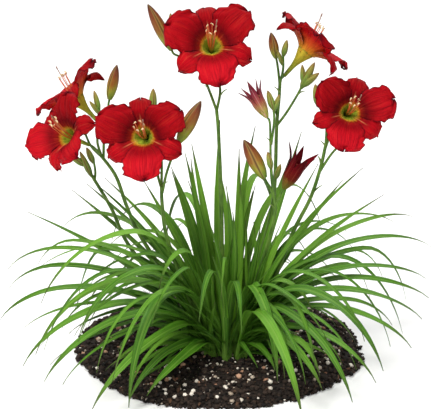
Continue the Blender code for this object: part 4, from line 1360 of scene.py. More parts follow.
@dataclass(frozen=True)
class TepalShape:
    """Form of one petal or sepal, in its bloom's own axes and lying over +X.

    Its midline is a smooth curve of (distance from the bloom's axis, height along it). Across it, points
    lie on an arc about the bloom's axis low down and on a flatter one further out. A groove runs along
    the midline, pleats fan out as cosines of the share across, and the edge ripples as three sines of the
    distance along it, which grow with the cube of the share across. Ruffle is the ripples' height, blunt
    and point_length shape the rounded end, and rows and columns are the lines of its grid.
    """

    line: Profile
    half_widths: tuple[float, ...]
    ruffle: float
    pleats: int
    rows: int
    columns: int
    thickness: float = 1.1
    flat_from: float = 42.0
    blunt: float = 0.62
    point_length: float = 2.4

    def half_width(self, t: np.ndarray) -> np.ndarray:
        """Half of the width at each share t of the length.

        It follows a smooth curve through all but the last of the half widths, and the end is rounded by
        one less the share of the last stretch, raised to two powers.

        Args:
            t: shares of the length, from 0 to 1.

        Returns:
            The half widths.
        """
        knots = np.array(self.half_widths)
        last = 1 - 1 / (len(knots) - 1)
        fine = through(np.append(knots[:-1], knots[-2] * 0.93), FINE)
        end = np.clip((t - last) / (1 - last), 0, 1)
        body = np.interp(t, np.linspace(0, 1, FINE), fine)
        return np.maximum(body * (1 - end**self.point_length) ** self.blunt, 0.25)

    def grid(self, phase: float) -> tuple[np.ndarray, np.ndarray, np.ndarray]:
        """Works out the middle surface.

        Args:
            phase: sets this petal's ripples apart from the others.

        Returns:
            Grid of points, grid of marks and grid of thicknesses.
        """
        t = 1 - (1 - np.linspace(0, 1, self.rows)) ** 1.35
        spread = math.pi / 2 * 0.86
        s = np.sin(np.linspace(-1, 1, self.columns) * spread) / math.sin(spread)
        fine = through(np.array(self.line), FINE)
        r, h = (np.interp(t, np.linspace(0, 1, FINE), column) for column in fine.T)
        half = self.half_width(t)
        flat = np.minimum(1.0, (r / self.flat_from) ** 2)
        lean = np.where(s > 0, 1.0, 2.6)[None, :] + phase
        uneven = 1 + 0.12 * flat[:, None] * np.abs(s) * np.sin(8.2 * t[:, None] + lean)
        bend = r * (1.0 + 2.2 * flat)
        frill = 1 + 0.045 * flat[:, None] * np.sin(46 * t[:, None] + phase * 3) * np.abs(s) ** 6
        angle = half[:, None] * s / bend[:, None] * frill * uneven
        scallop = 1.9 * np.sin(4.3 * s + phase) + 1.1 * np.sin(9.7 * s + 2 * phase)
        scallop = smoothstep(0.7, 1.0, t)[:, None] * scallop
        x = r[:, None] - bend[:, None] * (1 - np.cos(angle)) + scallop * (1 - 0.4 * s**2)
        y = bend[:, None] * np.sin(angle)
        edge = np.maximum(np.abs(s)[None, :] ** 3, smoothstep(0.80, 1.0, t)[:, None])
        run = 58.0 * t[:, None] + 0.55 * np.abs(y)
        sign = np.where(s > 0, 1.9, 0.0)[None, :]
        wave = (np.sin(run * 2 * math.pi / 19.0 + phase + sign)
                + 0.55 * np.sin(run * 2 * math.pi / 8.6 + 2.3 * phase - sign)
                + 0.34 * np.sin(run * 2 * math.pi / 4.4 + 3.1 * phase))
        grow = smoothstep(0.15, 0.75, flat)[:, None]
        pleat = np.cos(self.pleats * math.pi * np.abs(s) ** 0.9)[None, :] * (1 - s**4)
        pleat = pleat * np.sin(math.pi * t**0.8)[:, None]
        groove = np.exp(-((y / 1.7) ** 2)) * smoothstep(0.1, 0.3, t)[:, None] * (1 - t[:, None] ** 4)
        roll_back = 3.6 * grow * np.abs(s) ** 3 + 1.5 * grow * smoothstep(0.85, 1.0, t)[:, None]
        z = h[:, None] + self.ruffle * grow * edge * wave + 0.8 * pleat * grow - 1.4 * groove - roll_back
        thick = self.thickness * (1 - 0.55 * np.abs(s)[None, :] ** 2) * (1 - 0.45 * t[:, None])
        return np.stack([x, y, z], axis=2), grid_marks(s, t), thick


PETAL = TepalShape(((9.9, 40.0), (12.9, 47.0), (22.5, 58.0), (38.0, 68.5), (54.0, 74.0), (66.0, 72.0)),
                   (6.2, 8.4, 19.5, 30.5, 26.5, 0.0), 3.2, 7, 46, 29)
SEPAL = TepalShape(((9.9, 40.0), (13.2, 46.8), (23.5, 55.0), (38.5, 62.0), (51.5, 57.0), (57.0, 46.0)),
                   (3.9, 5.6, 13.0, 18.5, 14.0, 0.0), 1.5, 5, 38, 17, blunt=0.95, point_length=1.35)


@dataclass
class Bloom:
    """An open flower: a slender tube that widens into a throat, three broad petals and three sepals.

    In its own axes the foot of the tube is the origin, and the flower opens along its third axis. First
    turn is the first petal's turn about it, and height is what is left of the height, as a share of the
    width. Outer and inner are the tube's two faces, as (radius, distance from the foot).
    """

    name: str
    foot: Place
    axis: Place
    first_turn: float
    scale: float
    height: float
    outer: Profile = ((2.6, 0.0), (3.2, 10.0), (4.0, 21.0), (7.4, 33.0), (13.4, 46.3))
    inner: Profile = ((12.2, 46.3), (9.0, 40.5), (5.6, 33.0), (3.4, 26.0), (2.3, 20.0))
    sides: int = 48
    rib: float = 0.05

    def to_world(self, points: np.ndarray, turn: float = 0.0) -> np.ndarray:
        """Points in the bloom's own axes, turned about the third, pressed and carried to their places."""
        local = turned(points, turn) * point(1.0, self.height, 1.0)
        return point(*self.foot) + self.scale * local @ bloom_frame(point(*self.axis))

    def tube(self, piece: Piece) -> None:
        """Adds the tube: rings up its outside and down its inside, with six ribs that grow to its mouth."""
        outside, inside = through(np.array(self.outer), 22), through(np.array(self.inner), 18)
        profile = np.vstack([outside, inside])
        angle = np.arange(self.sides) * 2 * math.pi / self.sides
        ribs = self.rib * smoothstep(8.0, 40.0, profile[:, 1])[:, None] * np.cos(6 * angle)
        r = profile[:, :1] * (1 + ribs)
        rings = np.stack([r * np.cos(angle), r * np.sin(angle),
                          np.broadcast_to(profile[:, 1:], r.shape)], axis=2)
        along = np.concatenate([np.linspace(0, 1, len(outside)), np.linspace(0.99, 0.4, len(inside))])
        shape = self.to_world(rings.reshape(-1, 3), math.radians(self.first_turn)).reshape(rings.shape)
        piece.loft(shape, along, 0.5, 2, np.where(np.arange(len(profile)) < len(outside), 1.0, 0.0))

    def build(self) -> None:
        """Makes the bloom as one object, with its upper petals darker than its lower ones: partly their own
        colour, partly painted shade on the upper petals and painted sheen on the lower ones.
        """
        piece = Piece(self.name.replace("bloom", "flower"))
        self.tube(piece)
        for k in range(6):
            slot = k % 2
            middle, marks, thick = (PETAL, SEPAL)[slot].grid(1.7 * k + len(self.name))
            turn = math.radians(self.first_turn + 60 * k)
            world = self.to_world(middle.reshape(-1, 3), turn).reshape(middle.shape)
            # Upper petals darker, lower ones lighter: partly the flower's own colour, partly painted shade
            # and painted sheen.
            tone = 0.47 - 0.25 * math.sin(turn) + 0.05 * math.sin(9.0 * k)
            piece.shell(world, thick * self.scale, marks, tone, slot)
        piece.put((Finish.PETAL, Finish.SEPAL, Finish.TUBE), "petal", self.name)


@dataclass
class Stamens:
    """Six stamens and the longer style of a bloom, which all rise out of its tube and curve upwards.

    A thread's midline is a smooth curve in the bloom's own axes, raised in the world by lift times the
    square of its height above lift_from. An anther is a small two-lobed pod across its thread's end. All
    the threads rise out of a plug deep in the tube.
    """

    bloom: Bloom
    line: tuple[Place, ...] = ((1.0, 0.0, 24.0), (4.4, 0.0, 55.0), (7.0, 0.0, 79.0))
    style: tuple[Place, ...] = ((0.3, 0.0, 24.0), (3.6, 0.0, 62.0), (8.0, 0.0, 90.0))
    plug: tuple[Place, ...] = ((0.0, 0.0, 20.4), (0.0, 0.0, 27.0))
    plug_radius: float = 1.8
    lift: float = 0.0060
    lift_from: float = 34.0
    turn: float = 20.0
    thread_radii: tuple[float, float] = (0.95, 0.5)
    style_radii: tuple[float, float] = (0.9, 0.65)
    stigma_radii: tuple[float, float, float] = (0.9, 1.1, 0.7)
    anther_length: float = 6.2
    anther_bow: float = 1.5

    def thread_route(self, line: tuple[Place, ...], turn: float, count: int) -> np.ndarray:
        """Draws a thread's midline.

        Args:
            line: places that it passes, in the bloom's own axes.
            turn: its turn about the bloom's axis, in radians.
            count: number of points.

        Returns:
            The midline's points in the world.
        """
        local = through(np.array(line), count)
        rise = self.lift * np.maximum(0, local[:, 2:] - self.lift_from) ** 2
        return self.bloom.to_world(local, turn) + self.bloom.scale * rise * UP

    def anther(self, piece: Piece, at: np.ndarray, way: np.ndarray, lean: float) -> None:
        """Adds an anther: a pod of two lobes with rounded ends, which nods across its thread.

        Args:
            piece: the stamens' mesh.
            at: the thread's end.
            way: the thread's direction there.
            lean: angle between the anther and the thread, in radians.
        """
        frame = bloom_frame(way + 0.001)  # kept off the exact upright
        axis = unit(math.cos(lean) * frame[2] + math.sin(lean) * frame[0])
        t = np.linspace(0, 1, 13)
        bow = frame[1] * (self.anther_bow * np.sin(math.pi * t))[:, None]
        line = at + axis * ((t - 0.5) * self.anther_length)[:, None] + bow
        wide = np.sin(math.pi * np.clip(t, 0.03, 0.97)) ** 0.55
        piece.tube(line, wide, 14, 0.5, 2, (0.16, 2), 0.8)

    def build(self) -> None:
        """Makes the stamens and the style as one object."""
        name, scale = self.bloom.name, self.bloom.scale
        piece = Piece(name.replace("bloom", "threads"))
        plug = self.bloom.to_world(through(np.array(self.plug), 5))
        piece.tube(plug, np.full(5, self.plug_radius * scale), 12, 0.5)
        for k in range(6):
            route = self.thread_route(self.line, math.radians(60 * k + self.turn), 30)
            piece.tube(route, np.linspace(*self.thread_radii, 30) * scale, 8, 0.15 * k)
            self.anther(piece, route[-1], unit(route[-1] - route[-3]), 0.9 * math.sin(2.1 * k + len(name)))
        route = self.thread_route(self.style, math.radians(360 + self.turn), 40)
        radii = np.linspace(*self.style_radii, 40)
        radii[-3:] = self.stigma_radii
        piece.tube(route, radii * scale, 8, 0.9, 1)
        piece.put((Finish.FILAMENT, Finish.STYLE, Finish.ANTHER), "stamen", name.replace("bloom", "stamens"))


GOLD = 1.618  # golden ratio, which places an icosahedron's corners
ICOSAHEDRON = unit(np.array([(-1, GOLD, 0), (1, GOLD, 0), (-1, -GOLD, 0), (1, -GOLD, 0),
                             (0, -1, GOLD), (0, 1, GOLD), (0, -1, -GOLD), (0, 1, -GOLD),
                             (GOLD, 0, -1), (GOLD, 0, 1), (-GOLD, 0, -1), (-GOLD, 0, 1)]))
ICOSAHEDRON_FACES = np.array([(0, 11, 5), (0, 5, 1), (0, 1, 7), (0, 7, 10), (0, 10, 11), (1, 5, 9),
                              (5, 11, 4), (11, 10, 2), (10, 7, 6), (7, 1, 8), (3, 9, 4), (3, 4, 2),
                              (3, 2, 6), (3, 6, 8), (3, 8, 9), (4, 9, 5), (2, 4, 11), (6, 2, 10),
                              (8, 6, 7), (9, 8, 1)])


def turns(angle: np.ndarray, order: tuple[int, int, int]) -> np.ndarray:
    """Turning matrices about one axis: rows of a turn in a plane, put in the order of the axes.

    Args:
        angle: the angles, in radians.
        order: places of the plane's two axes and of the axis of turning.

    Returns:
        One matrix of three by three for each angle.
    """
    c, s, zero, one = np.cos(angle), np.sin(angle), np.zeros(len(angle)), np.ones(len(angle))
    plain = np.stack([c, -s, zero, s, c, zero, zero, zero, one], axis=1).reshape(-1, 3, 3)
    return plain[:, order][:, :, order]


def random_turns(count: int, rng: np.random.Generator, tilt: float) -> np.ndarray:
    """Turning matrices at random: a free turn about the upright, then a lean towards any side.

    Args:
        count: number of matrices.
        rng: source of the random numbers.
        tilt: largest lean, in radians.

    Returns:
        One matrix of three by three for each grain.
    """
    turn, way = rng.uniform(0, 2 * math.pi, (2, count))
    lean = turns(-rng.uniform(0, tilt, count), (0, 2, 1))
    ways = turns(way, (0, 1, 2))
    return ways @ lean @ np.transpose(ways, (0, 2, 1)) @ turns(turn, (0, 1, 2))


@dataclass(frozen=True)
class Grains:
    """Loose grains of one kind that lie on the bed.

    A grain is an icosahedron whose corners are moved in or out at random, stretched along its three
    axes, turned, and sunk by a share of its size into the bed's surface. Sizes lie between the two given
    ones, as an even draw raised to a power, so most grains are small. Spread is the ring of the bed that
    they lie on, as two shares of the way to its rim.
    """

    name: str
    finish: Finish
    count: int
    size: tuple[float, float]
    stretch: tuple[float, float, float]
    spread: tuple[float, float]
    rough: float = 0.22
    sunk: float = 0.2
    tilt: float = 0.5
    seed: int = 11
    fineness: float = 1.9
    least_height: float = 0.3

    def build(self, bed: SoilBed) -> None:
        """Makes the grains as one object, which adds to the bed.

        Args:
            bed: the bed that they lie on.
        """
        rng = np.random.default_rng(self.seed)
        angle = rng.uniform(0, 2 * math.pi, self.count)
        inner, outer = self.spread
        share = np.sqrt(rng.uniform(inner**2, outer**2, self.count))
        reach = share * bed.rim(angle)
        x, y = reach * np.cos(angle), reach * np.sin(angle)
        smallest, largest = self.size
        size = smallest + (largest - smallest) * rng.uniform(0, 1, self.count) ** self.fineness
        corners = len(ICOSAHEDRON)
        shape = ICOSAHEDRON[None] * (1 + self.rough * rng.uniform(-1, 1, (self.count, corners, 1)))
        shape = shape * (size[:, None] / 2 * np.array(self.stretch))[:, None, :]
        shape = np.einsum("nij,nkj->nki", random_turns(self.count, rng, self.tilt), shape)
        low = shape[:, :, 2].min(axis=1)
        z = bed.height(x, y) - low - self.sunk * size * self.stretch[2]
        z = np.maximum(z, self.least_height - low)
        shape = shape + np.stack([x, y, z], axis=1)[:, None, :]
        faces = ICOSAHEDRON_FACES[None] + corners * np.arange(self.count)[:, None, None]
        faces = np.concatenate([faces, np.full((*faces.shape[:2], 1), -1)], axis=2)
        tones = np.repeat(rng.uniform(0, 1, self.count), corners)
        marks = np.tile(ICOSAHEDRON * point(1, 1, 0), (self.count, 1))
        piece = Piece(self.name)
        piece.add(shape.reshape(-1, 3), faces.reshape(-1, 4), marks, tones)
        piece.put((self.finish,), "soil_bed")


@dataclass
class SoilBed:
    """The round bed: a low crumbly mound with a ragged rim and a flat underside.

    Its height is the plain mound plus noise of four sizes, each half as high as the one before, and
    falls off at the rim. The rim's distance from the middle goes straight from one random share to the
    next, roughened by finer noise. Lumps and rag are the heights of the two noises.
    """

    name: str = "soil_bed"
    sides: int = 360
    rings: int = 120
    lumps: float = 2.0
    rag: float = 2.2
    noise_radius: float = 190.0
    rim_foot: float = 0.15 * SOIL_RIM_HEIGHT

    def rim(self, angle: np.ndarray) -> np.ndarray:
        """Works out the rim.

        Args:
            angle: directions from the bed's middle, in radians.

        Returns:
            The rim's distance from the middle in each of them.
        """
        rng = random.Random(SOIL_SEED)
        wander = np.array([1 + RIM_WANDER * rng.uniform(-1, 1) for _ in range(SOIL_SIDES)])
        at = np.arange(SOIL_SIDES + 1) * 2 * math.pi / SOIL_SIDES
        base = np.interp(np.mod(angle, 2 * math.pi), at, np.append(wander, wander[0])) * SOIL_RADIUS
        x, y = self.noise_radius * np.cos(angle), self.noise_radius * np.sin(angle)
        coarse, fine = lattice_noise(x, y, 9.0, RIM_NOISE_SEED), lattice_noise(x, y, 4.0, RIM_NOISE_SEED + 1)
        return base + self.rag * (coarse + 0.6 * fine) - 1.0

    def height(self, x: np.ndarray, y: np.ndarray) -> np.ndarray:
        """Works out the crumbly surface.

        Args:
            x: places to the right, in millimetres.
            y: places to the back.

        Returns:
            The surface's height at each place.
        """
        rough = sum(0.5**k * lattice_noise(x, y, 22.0 / 2.1**k, LUMP_SEED + k) for k in range(4))
        share = np.hypot(x, y) / self.rim(np.arctan2(y, x))
        edge = 1 - smoothstep(0.93, 1.0, share)
        plain = self.rim_foot + (soil_height(x, y) - self.rim_foot) * edge
        return plain + self.lumps * rough * (0.35 + 0.65 * edge)

    def build(self) -> None:
        """Makes the bed as one closed object."""
        angle = np.arange(self.sides) * 2 * math.pi / self.sides
        rim = self.rim(angle)
        share = 1 - np.linspace(0, 1, self.rings, endpoint=False) ** 1.15
        x, y = share[:, None] * rim * np.cos(angle), share[:, None] * rim * np.sin(angle)
        top = np.stack([x, y, np.maximum(self.height(x, y), 1.2)], axis=2)
        top[0] = np.stack([x[0], y[0], np.full(self.sides, 2.0)], axis=1)
        foot = np.stack([x[0] * 0.985, y[0] * 0.985, np.zeros(self.sides)], axis=1)
        rings = np.concatenate([foot[None], top])
        piece = Piece("earth")
        piece.loft(rings, np.linspace(0, 1, len(rings)), 0.5)
        piece.put((Finish.SOIL,), "soil_bed", self.name)


# Fan name: (middle azimuth, half of its wedge, distance of its foot from the crown, share of the solid
# leaves' width, darkest and lightest tone of its leaves, number of extra leaves)
# Tone ranges carry painted light and shade: the back fans' are raised to lighten their leaves as if lit
# through, and the front fans' lowered to darken the leaves that face the lamps.
FANS = {
    "fan_left": (186.0, 14.0, 44.0, 0.9, (0.0, 0.85), 24),
    "fan_front_left": (222.5, 22.5, 32.0, 0.9, (0.1, 0.8), 26),
    "fan_front": (265.0, 20.0, 32.0, 0.72, (0.1, 0.6), 22),
    "fan_front_right": (305.0, 20.0, 34.0, 0.9, (0.1, 0.65), 26),
    "fan_right": (347.5, 22.5, 32.0, 0.9, (0.0, 0.85), 24),
    "fan_back_right": (27.5, 17.5, 38.0, 0.85, (0.3, 1.1), 20),
    "fan_back": (65.0, 20.0, 33.0, 0.8, (0.6, 1.3), 16),
    "fan_back_middle": (103.5, 18.5, 32.0, 0.8, (0.6, 1.3), 16),
    "fan_back_left": (141.0, 19.0, 34.0, 0.85, (0.3, 1.1), 20),
}

# Leaves that arch over
ARCHING = {
    "fan_left": [
        (188, 306, 158, 238, 190, 14), (180, 264, 148, 212, 188, 14), (183, 304, 120, 234, 154, 15),
        (192, 320, 94, 229, 135, 17), (177, 215, 60, 172, 168, 12), (186, 196, 96, 130, 150, 15),
    ],
    "fan_front_left": [
        (206, 280, 142, 150, 222, 14), (205, 288, 66, 167, 154, 16), (210, 318, 66, 180, 126, 16),
        (216, 304, 52, 172, 118, 19), (215, 245, 100, 134, 172, 17), (234, 226, 16, 132, 150, 21),
        (226, 262, 15, 110, 92, 20), (237, 200, 26, 90, 60, 20), (230, 208, 14, 122, 66, 18),
        (221, 124, 145, 84, 192, 16),
    ],
    "fan_front": [
        (254, 140, 120, 92, 176, 18), (278, 138, 104, 88, 160, 17), (266, 128, 150, 92, 196, 10),
    ],
    "fan_front_right": [
        (320, 272, 66, 140, 148, 18), (316, 275, 56, 172, 102, 15), (309, 264, 34, 110, 122, 19),
        (295, 160, 38, 72, 146, 20), (292, 262, 28, 132, 126, 21), (305, 222, 40, 130, 92, 19),
        (313, 184, 40, 138, 82, 16), (300, 130, 38, 78, 56, 15),
    ],
    "fan_right": [
        (350, 277, 148, 209, 166, 17), (345, 285, 130, 203, 148, 15), (340, 282, 108, 186, 140, 18),
        (354, 246, 56, 150, 168, 13), (335, 276, 74, 170, 112, 14), (347, 234, 80, 172, 112, 13),
        (362, 284, 172, 216, 192, 17), (332, 134, 100, 86, 142, 14),
    ],
    "fan_back_right": [
        (18, 281, 186, 237, 197, 15), (20, 258, 174, 188, 198, 13), (15, 265, 67, 199, 156, 13),
        (26, 254, 71, 190, 140, 12), (21, 222, 51, 176, 128, 12),
    ],
    "fan_back": [(68, 190, 150, 120, 240, 16), (52, 226, 130, 140, 225, 15)],
    "fan_back_middle": [(93, 196, 120, 120, 220, 16), (115, 210, 110, 130, 210, 15)],
    "fan_back_left": [(152, 276, 142, 200, 190, 13), (138, 226, 120, 140, 205, 15)],
}

# Leaves that still rise at their tips
UPRIGHT = {
    "fan_left": [(177, 277, 222, 13), (178, 182, 268, 13), (192, 118, 236, 15)],
    "fan_front_left": [(212, 96, 226, 16)],
    "fan_front": [
        (252, 84, 246, 17), (275, 80, 258, 17), (268, 50, 284, 16), (259, 108, 205, 17), (280, 60, 224, 15),
    ],
    "fan_front_right": [(302, 84, 234, 16), (317, 106, 250, 15)],
    "fan_right": [(361, 187, 292, 15), (357, 216, 258, 16)],
    "fan_back_right": [(23, 138, 280, 14), (37, 130, 318, 15), (33, 196, 236, 15)],
    "fan_back": [(60, 78, 330, 16), (74, 60, 300, 16), (70, 52, 262, 15), (54, 150, 262, 15)],
    "fan_back_middle": [(97, 84, 334, 17), (112, 134, 284, 17), (108, 168, 250, 16), (100, 60, 270, 15)],
    "fan_back_left": [
        (150, 256, 213, 13), (147, 240, 222, 13), (144, 216, 232, 13), (148, 139, 248, 14),
        (141, 101, 271, 17), (131, 90, 290, 16), (134, 112, 258, 16),
    ],
}

# Stems: a main route from the soil, twigs as (route, what the twig carries), small green buds as (base,
# tip, width) and bracts as (place, direction, length)
STEMS = {
    "stem_far_left": {
        "route": [(-22, -33), (-70, -16, 84), (-129, 4, 160), (-153, 13, 212), (-180, 21, 258)],
        "twigs": [([(-178, 20, 254), (-184, 23, 266), (-190, 24, 273)], None),
                  ([(-176, 19, 250), (-175, 24, 262), (-177, 26, 277)], None)],
        "buds": [((-189, 24, 271), (-212, 20, 290), 9.5), ((-180, 21, 256), (-196, 24, 292), 9.0),
                 ((-177, 26, 274), (-187, 30, 296), 9.0)],
        "bracts": [((-157, 14, 218), (-0.5, -0.2, 0.8), 16), ((-100, -6, 122), (-0.7, 0.2, 0.5), 14)],
    },
    "stem_left": {
        "route": [(-11, -41), (-50, -36, 90), (-108, -28, 180), (-129, -25, 227), (-144, -23, 272),
                  (-166, -20, 304)],
        "twigs": [([(-163, -20, 300), (-168, -22, 308)], "bloom_left"),
                  ([(-164, -20, 301), (-170, -4, 318)], "bloom_left_back"),
                  ([(-161, -20, 299), (-160, -10, 330), (-155, 2, 358)], "bud_left"),
                  ([(-160, -12, 328), (-164, -2, 346), (-167, 4, 362)], None),
                  ([(-162, -20, 298), (-178, -12, 312), (-187, -6, 330)], None)],
        "buds": [((-167, 4, 359), (-174, 10, 386), 8.0), ((-166, 2, 354), (-180, 0, 374), 6.5),
                 ((-186, -7, 327), (-193, -3, 346), 7.0)],
        "bracts": [((-131, -25, 232), (-0.6, 0.1, 0.8), 15), ((-161, -12, 326), (0.7, 0.0, 0.6), 13)],
    },
    "stem_front_left": {
        "route": [(-10, -52), (-40, -63, 100), (-72, -75, 198), (-79, -77, 250), (-80, -76, 278)],
        "twigs": [([(-79.5, -76.5, 272), (-86, -64, 292)], "bloom_front_left"),
                  ([(-79, -77, 268), (-72, -79, 300)], "bud_middle"),
                  ([(-80, -76, 274), (-80, -58, 310), (-84, -46, 345), (-92, -42, 376)], None)],
        "buds": [((-92, -42, 373), (-91, -40, 405), 11.0)],
        "bracts": [((-80, -76, 276), (0.8, -0.1, 0.5), 13), ((-85, -66, 289), (-0.7, -0.3, 0.6), 15)],
    },
    "stem_centre": {
        "route": [(6, -47), (3, -42, 110), (2, -36, 230), (-2, -32, 335), (-5, -30, 374)],
        "twigs": [([(-5, -30, 368), (0, -18, 396), (-6, 4, 420)], "bloom_top"),
                  ([(-5, -30, 371), (-17, -10, 398), (-30, 8, 420), (-48, 4, 434)], "bud_top"),
                  ([(-48, 4, 433), (-58, 12, 450), (-66, 16, 469)], None)],
        "buds": [((-66, 16, 466), (-68, 16, 495), 8.5)],
        "bracts": [((-13, -16, 390), (-0.6, -0.1, 0.7), 16), ((0, -24, 388), (0.7, -0.2, 0.7), 17)],
    },
    "stem_back_right": {
        "route": [(27, -28), (48, -4, 110), (74, 20, 213), (79, 25, 330), (82, 28, 370), (83, 30, 392)],
        "twigs": [([(82.5, 29, 382)], "bloom_top_right"),
                  ([(83, 30, 386), (81, 33, 404)], "bud_back_right"),
                  ([(83, 30, 390), (87, 25, 412), (87, 24, 434)], None),
                  ([(79, 25, 330), (93, 20, 352), (109, 16, 382), (117, 14, 402)], None)],
        "buds": [((87, 24, 431), (92, 23, 455), 8.5), ((86.5, 25, 418), (79, 23, 440), 6.5),
                 ((112, 15, 388), (130, 12, 426), 11.0), ((112, 15, 390), (136, 8, 412), 10.5),
                 ((115, 14.5, 394), (113, 14, 422), 8.0)],
        "bracts": [((79, 25, 342), (-0.5, 0.2, 0.8), 22), ((82, 28, 376), (-0.6, -0.3, 0.7), 15),
                   ((107, 17, 376), (0.8, -0.3, 0.5), 14)],
    },
    "stem_front_right": {
        "route": [(22, -53), (44, -68, 110), (70, -86, 215), (75, -90, 252), (73, -91, 270)],
        "twigs": [([(73.5, -91, 264), (69, -91, 278)], "bud_low"),
                  ([(74.5, -90.5, 254)], "opening_dark"),
                  ([(73, -91, 266), (69, -80, 300), (68, -72, 345)], "opening_rose"),
                  ([(69, -74, 336), (73, -66, 366), (72, -64, 386)], None),
                  ([(73, -91, 266), (71, -96, 290), (69, -96, 312)], None),
                  ([(73, -91, 264), (75, -82, 280), (75.5, -80, 292)], None)],
        "buds": [((69, -96, 309), (64, -97, 334), 8.5), ((75.5, -80, 289), (82, -79, 310), 8.0),
                 ((72, -64, 383), (64, -64, 410), 9.5), ((72, -64.5, 380), (80, -62, 404), 7.0)],
        "bracts": [((74, -90, 248), (-0.7, -0.2, 0.6), 14), ((68, -75, 336), (-0.5, -0.2, 0.8), 14)],
    },
    "stem_right": {
        "route": [(32, -41), (62, -35, 85), (100, -28, 187), (125, -25, 240), (139, -22, 285),
                  (146, -21, 320)],
        "twigs": [([(145, -21, 312), (151, -17, 328)], "bloom_right"),
                  ([(145.5, -21, 316), (146, -20, 342), (141, -18, 362), (136, -18, 375)], None),
                  ([(138, -22, 279), (152, -26, 304), (168, -30, 326), (173, -32, 338)], None)],
        "buds": [((136, -18, 372), (130, -18, 404), 12.5), ((172, -32, 334), (178, -36, 356), 7.5)],
        "bracts": [((126, -25, 243), (0.7, -0.1, 0.7), 26), ((139, -22, 286), (-0.3, -0.3, 0.9), 20),
                   ((145, -21, 312), (-0.6, -0.2, 0.8), 16), ((155, -27, 308), (0.8, -0.1, 0.5), 13)],
    },
}

# Large coloured buds: (base, tip, width)
LARGE_BUDS = {
    "bud_top": ((-66, -6.5, 450), (-98, -10, 515), 17.0),
    "bud_left": ((-152.8, 8.4, 374), (-142, 10, 423), 15.0),
    "bud_middle": ((-56, -80.2, 342.5), (-26, -80, 400), 19.0),
    "bud_low": ((60, -89.2, 294), (32, -86, 347), 20.0),
    "bud_back_right": ((77.6, 35.1, 425), (70, 35, 462), 13.0),
}

# Half-open flowers: (base, tip, width of the body, finish of the lobes)
HALF_OPEN = {
    "opening_dark": ((86.2, -94.8, 280.4), (110, -98, 326), 25.0, Finish.DARK_LOBE),
    "opening_rose": ((63.6, -69.8, 373.6), (42, -66, 412), 20.0, Finish.ROSE_LOBE),
}

# Open blooms: (foot of the tube, axis, turn of the first petal, scale, height as a share of the width)
BLOOMS = {
    "bloom_top": ((-12.0, 8.0, 434.0), (0.0, -0.800, 0.600), 40.0, 1.0, 0.98),
    "bloom_front_left": ((-96.0, -47.6, 336.0), (-0.161, -0.913, 0.375), 38.0, 1.0, 0.91),
    "bloom_right": ((168.0, -5.6, 353.8), (0.188, -0.886, 0.423), 13.0, 0.92, 0.93),
    "bloom_top_right": ((88.8, 32.8, 400.0), (0.656, 0.264, 0.707), 30.0, 0.97, 1.0),
    "bloom_left": ((-180.0, -30.0, 320.5), (-0.650, -0.561, 0.500), 98.0, 0.9, 0.94),
    "bloom_left_back": ((-170.0, 18.0, 338.6), (-0.680, 0.260, 0.680), 90.0, 0.92, 1.0),
}


def carried_foot(name: str) -> tuple[np.ndarray, np.ndarray]:
    """Finds what a twig carries.

    Args:
        name: name of a bloom, a half-open flower or a large bud.

    Returns:
        Its foot and its direction.
    """
    if name in BLOOMS:
        foot, axis, *_ = BLOOMS[name]
        return point(*foot), unit(point(*axis))
    base, tip, *_ = {**LARGE_BUDS, **HALF_OPEN}[name]
    return point(*base), unit(point(*tip) - point(*base))


# Grains: (name, finish, number, smallest and largest size, stretch, spread, how rough, share sunk, largest
# lean, seed)
GRAINS = (
    Grains("crumbs", Finish.CRUMB, 6200, (1.8, 8.5), (1.0, 0.85, 0.7), (0.0, 0.99), 0.3, 0.2, 0.6, 12),
    Grains("rim_crumbs", Finish.CRUMB, 2400, (2.0, 9.0), (1.0, 0.9, 0.75), (0.93, 1.02), 0.3, 0.2, 0.6, 13),
    Grains("clods", Finish.CRUMB, 900, (5.0, 13.0), (1.0, 0.85, 0.6), (0.0, 1.0), 0.3, 0.35, 0.6, 17),
    Grains("perlite", Finish.PERLITE, 760, (2.0, 8.4), (1.0, 0.93, 0.85), (0.0, 1.0), 0.14, 0.2, 0.5, 14),
    Grains("grit", Finish.GRIT, 170, (2.6, 10.5), (1.1, 0.95, 0.75), (0.0, 1.0), 0.12, 0.25, 0.5, 15),
    Grains("bark", Finish.BARK, 330, (3.5, 15.0), (1.7, 0.4, 0.25), (0.0, 1.0), 0.2, 0.15, 0.4, 16),
)


# Lights: (name, azimuth, elevation, power in watts, width in metres, colour)
LIGHTS = (
    ("key", 230.0, 56.0, 66.0, 1.0, (1.0, 0.98, 0.95)),
    ("fill", 300.0, 25.0, 16.0, 2.2, (1.0, 1.0, 1.0)),
    ("back", 80.0, 50.0, 36.0, 1.6, (1.0, 1.0, 1.0)),
)


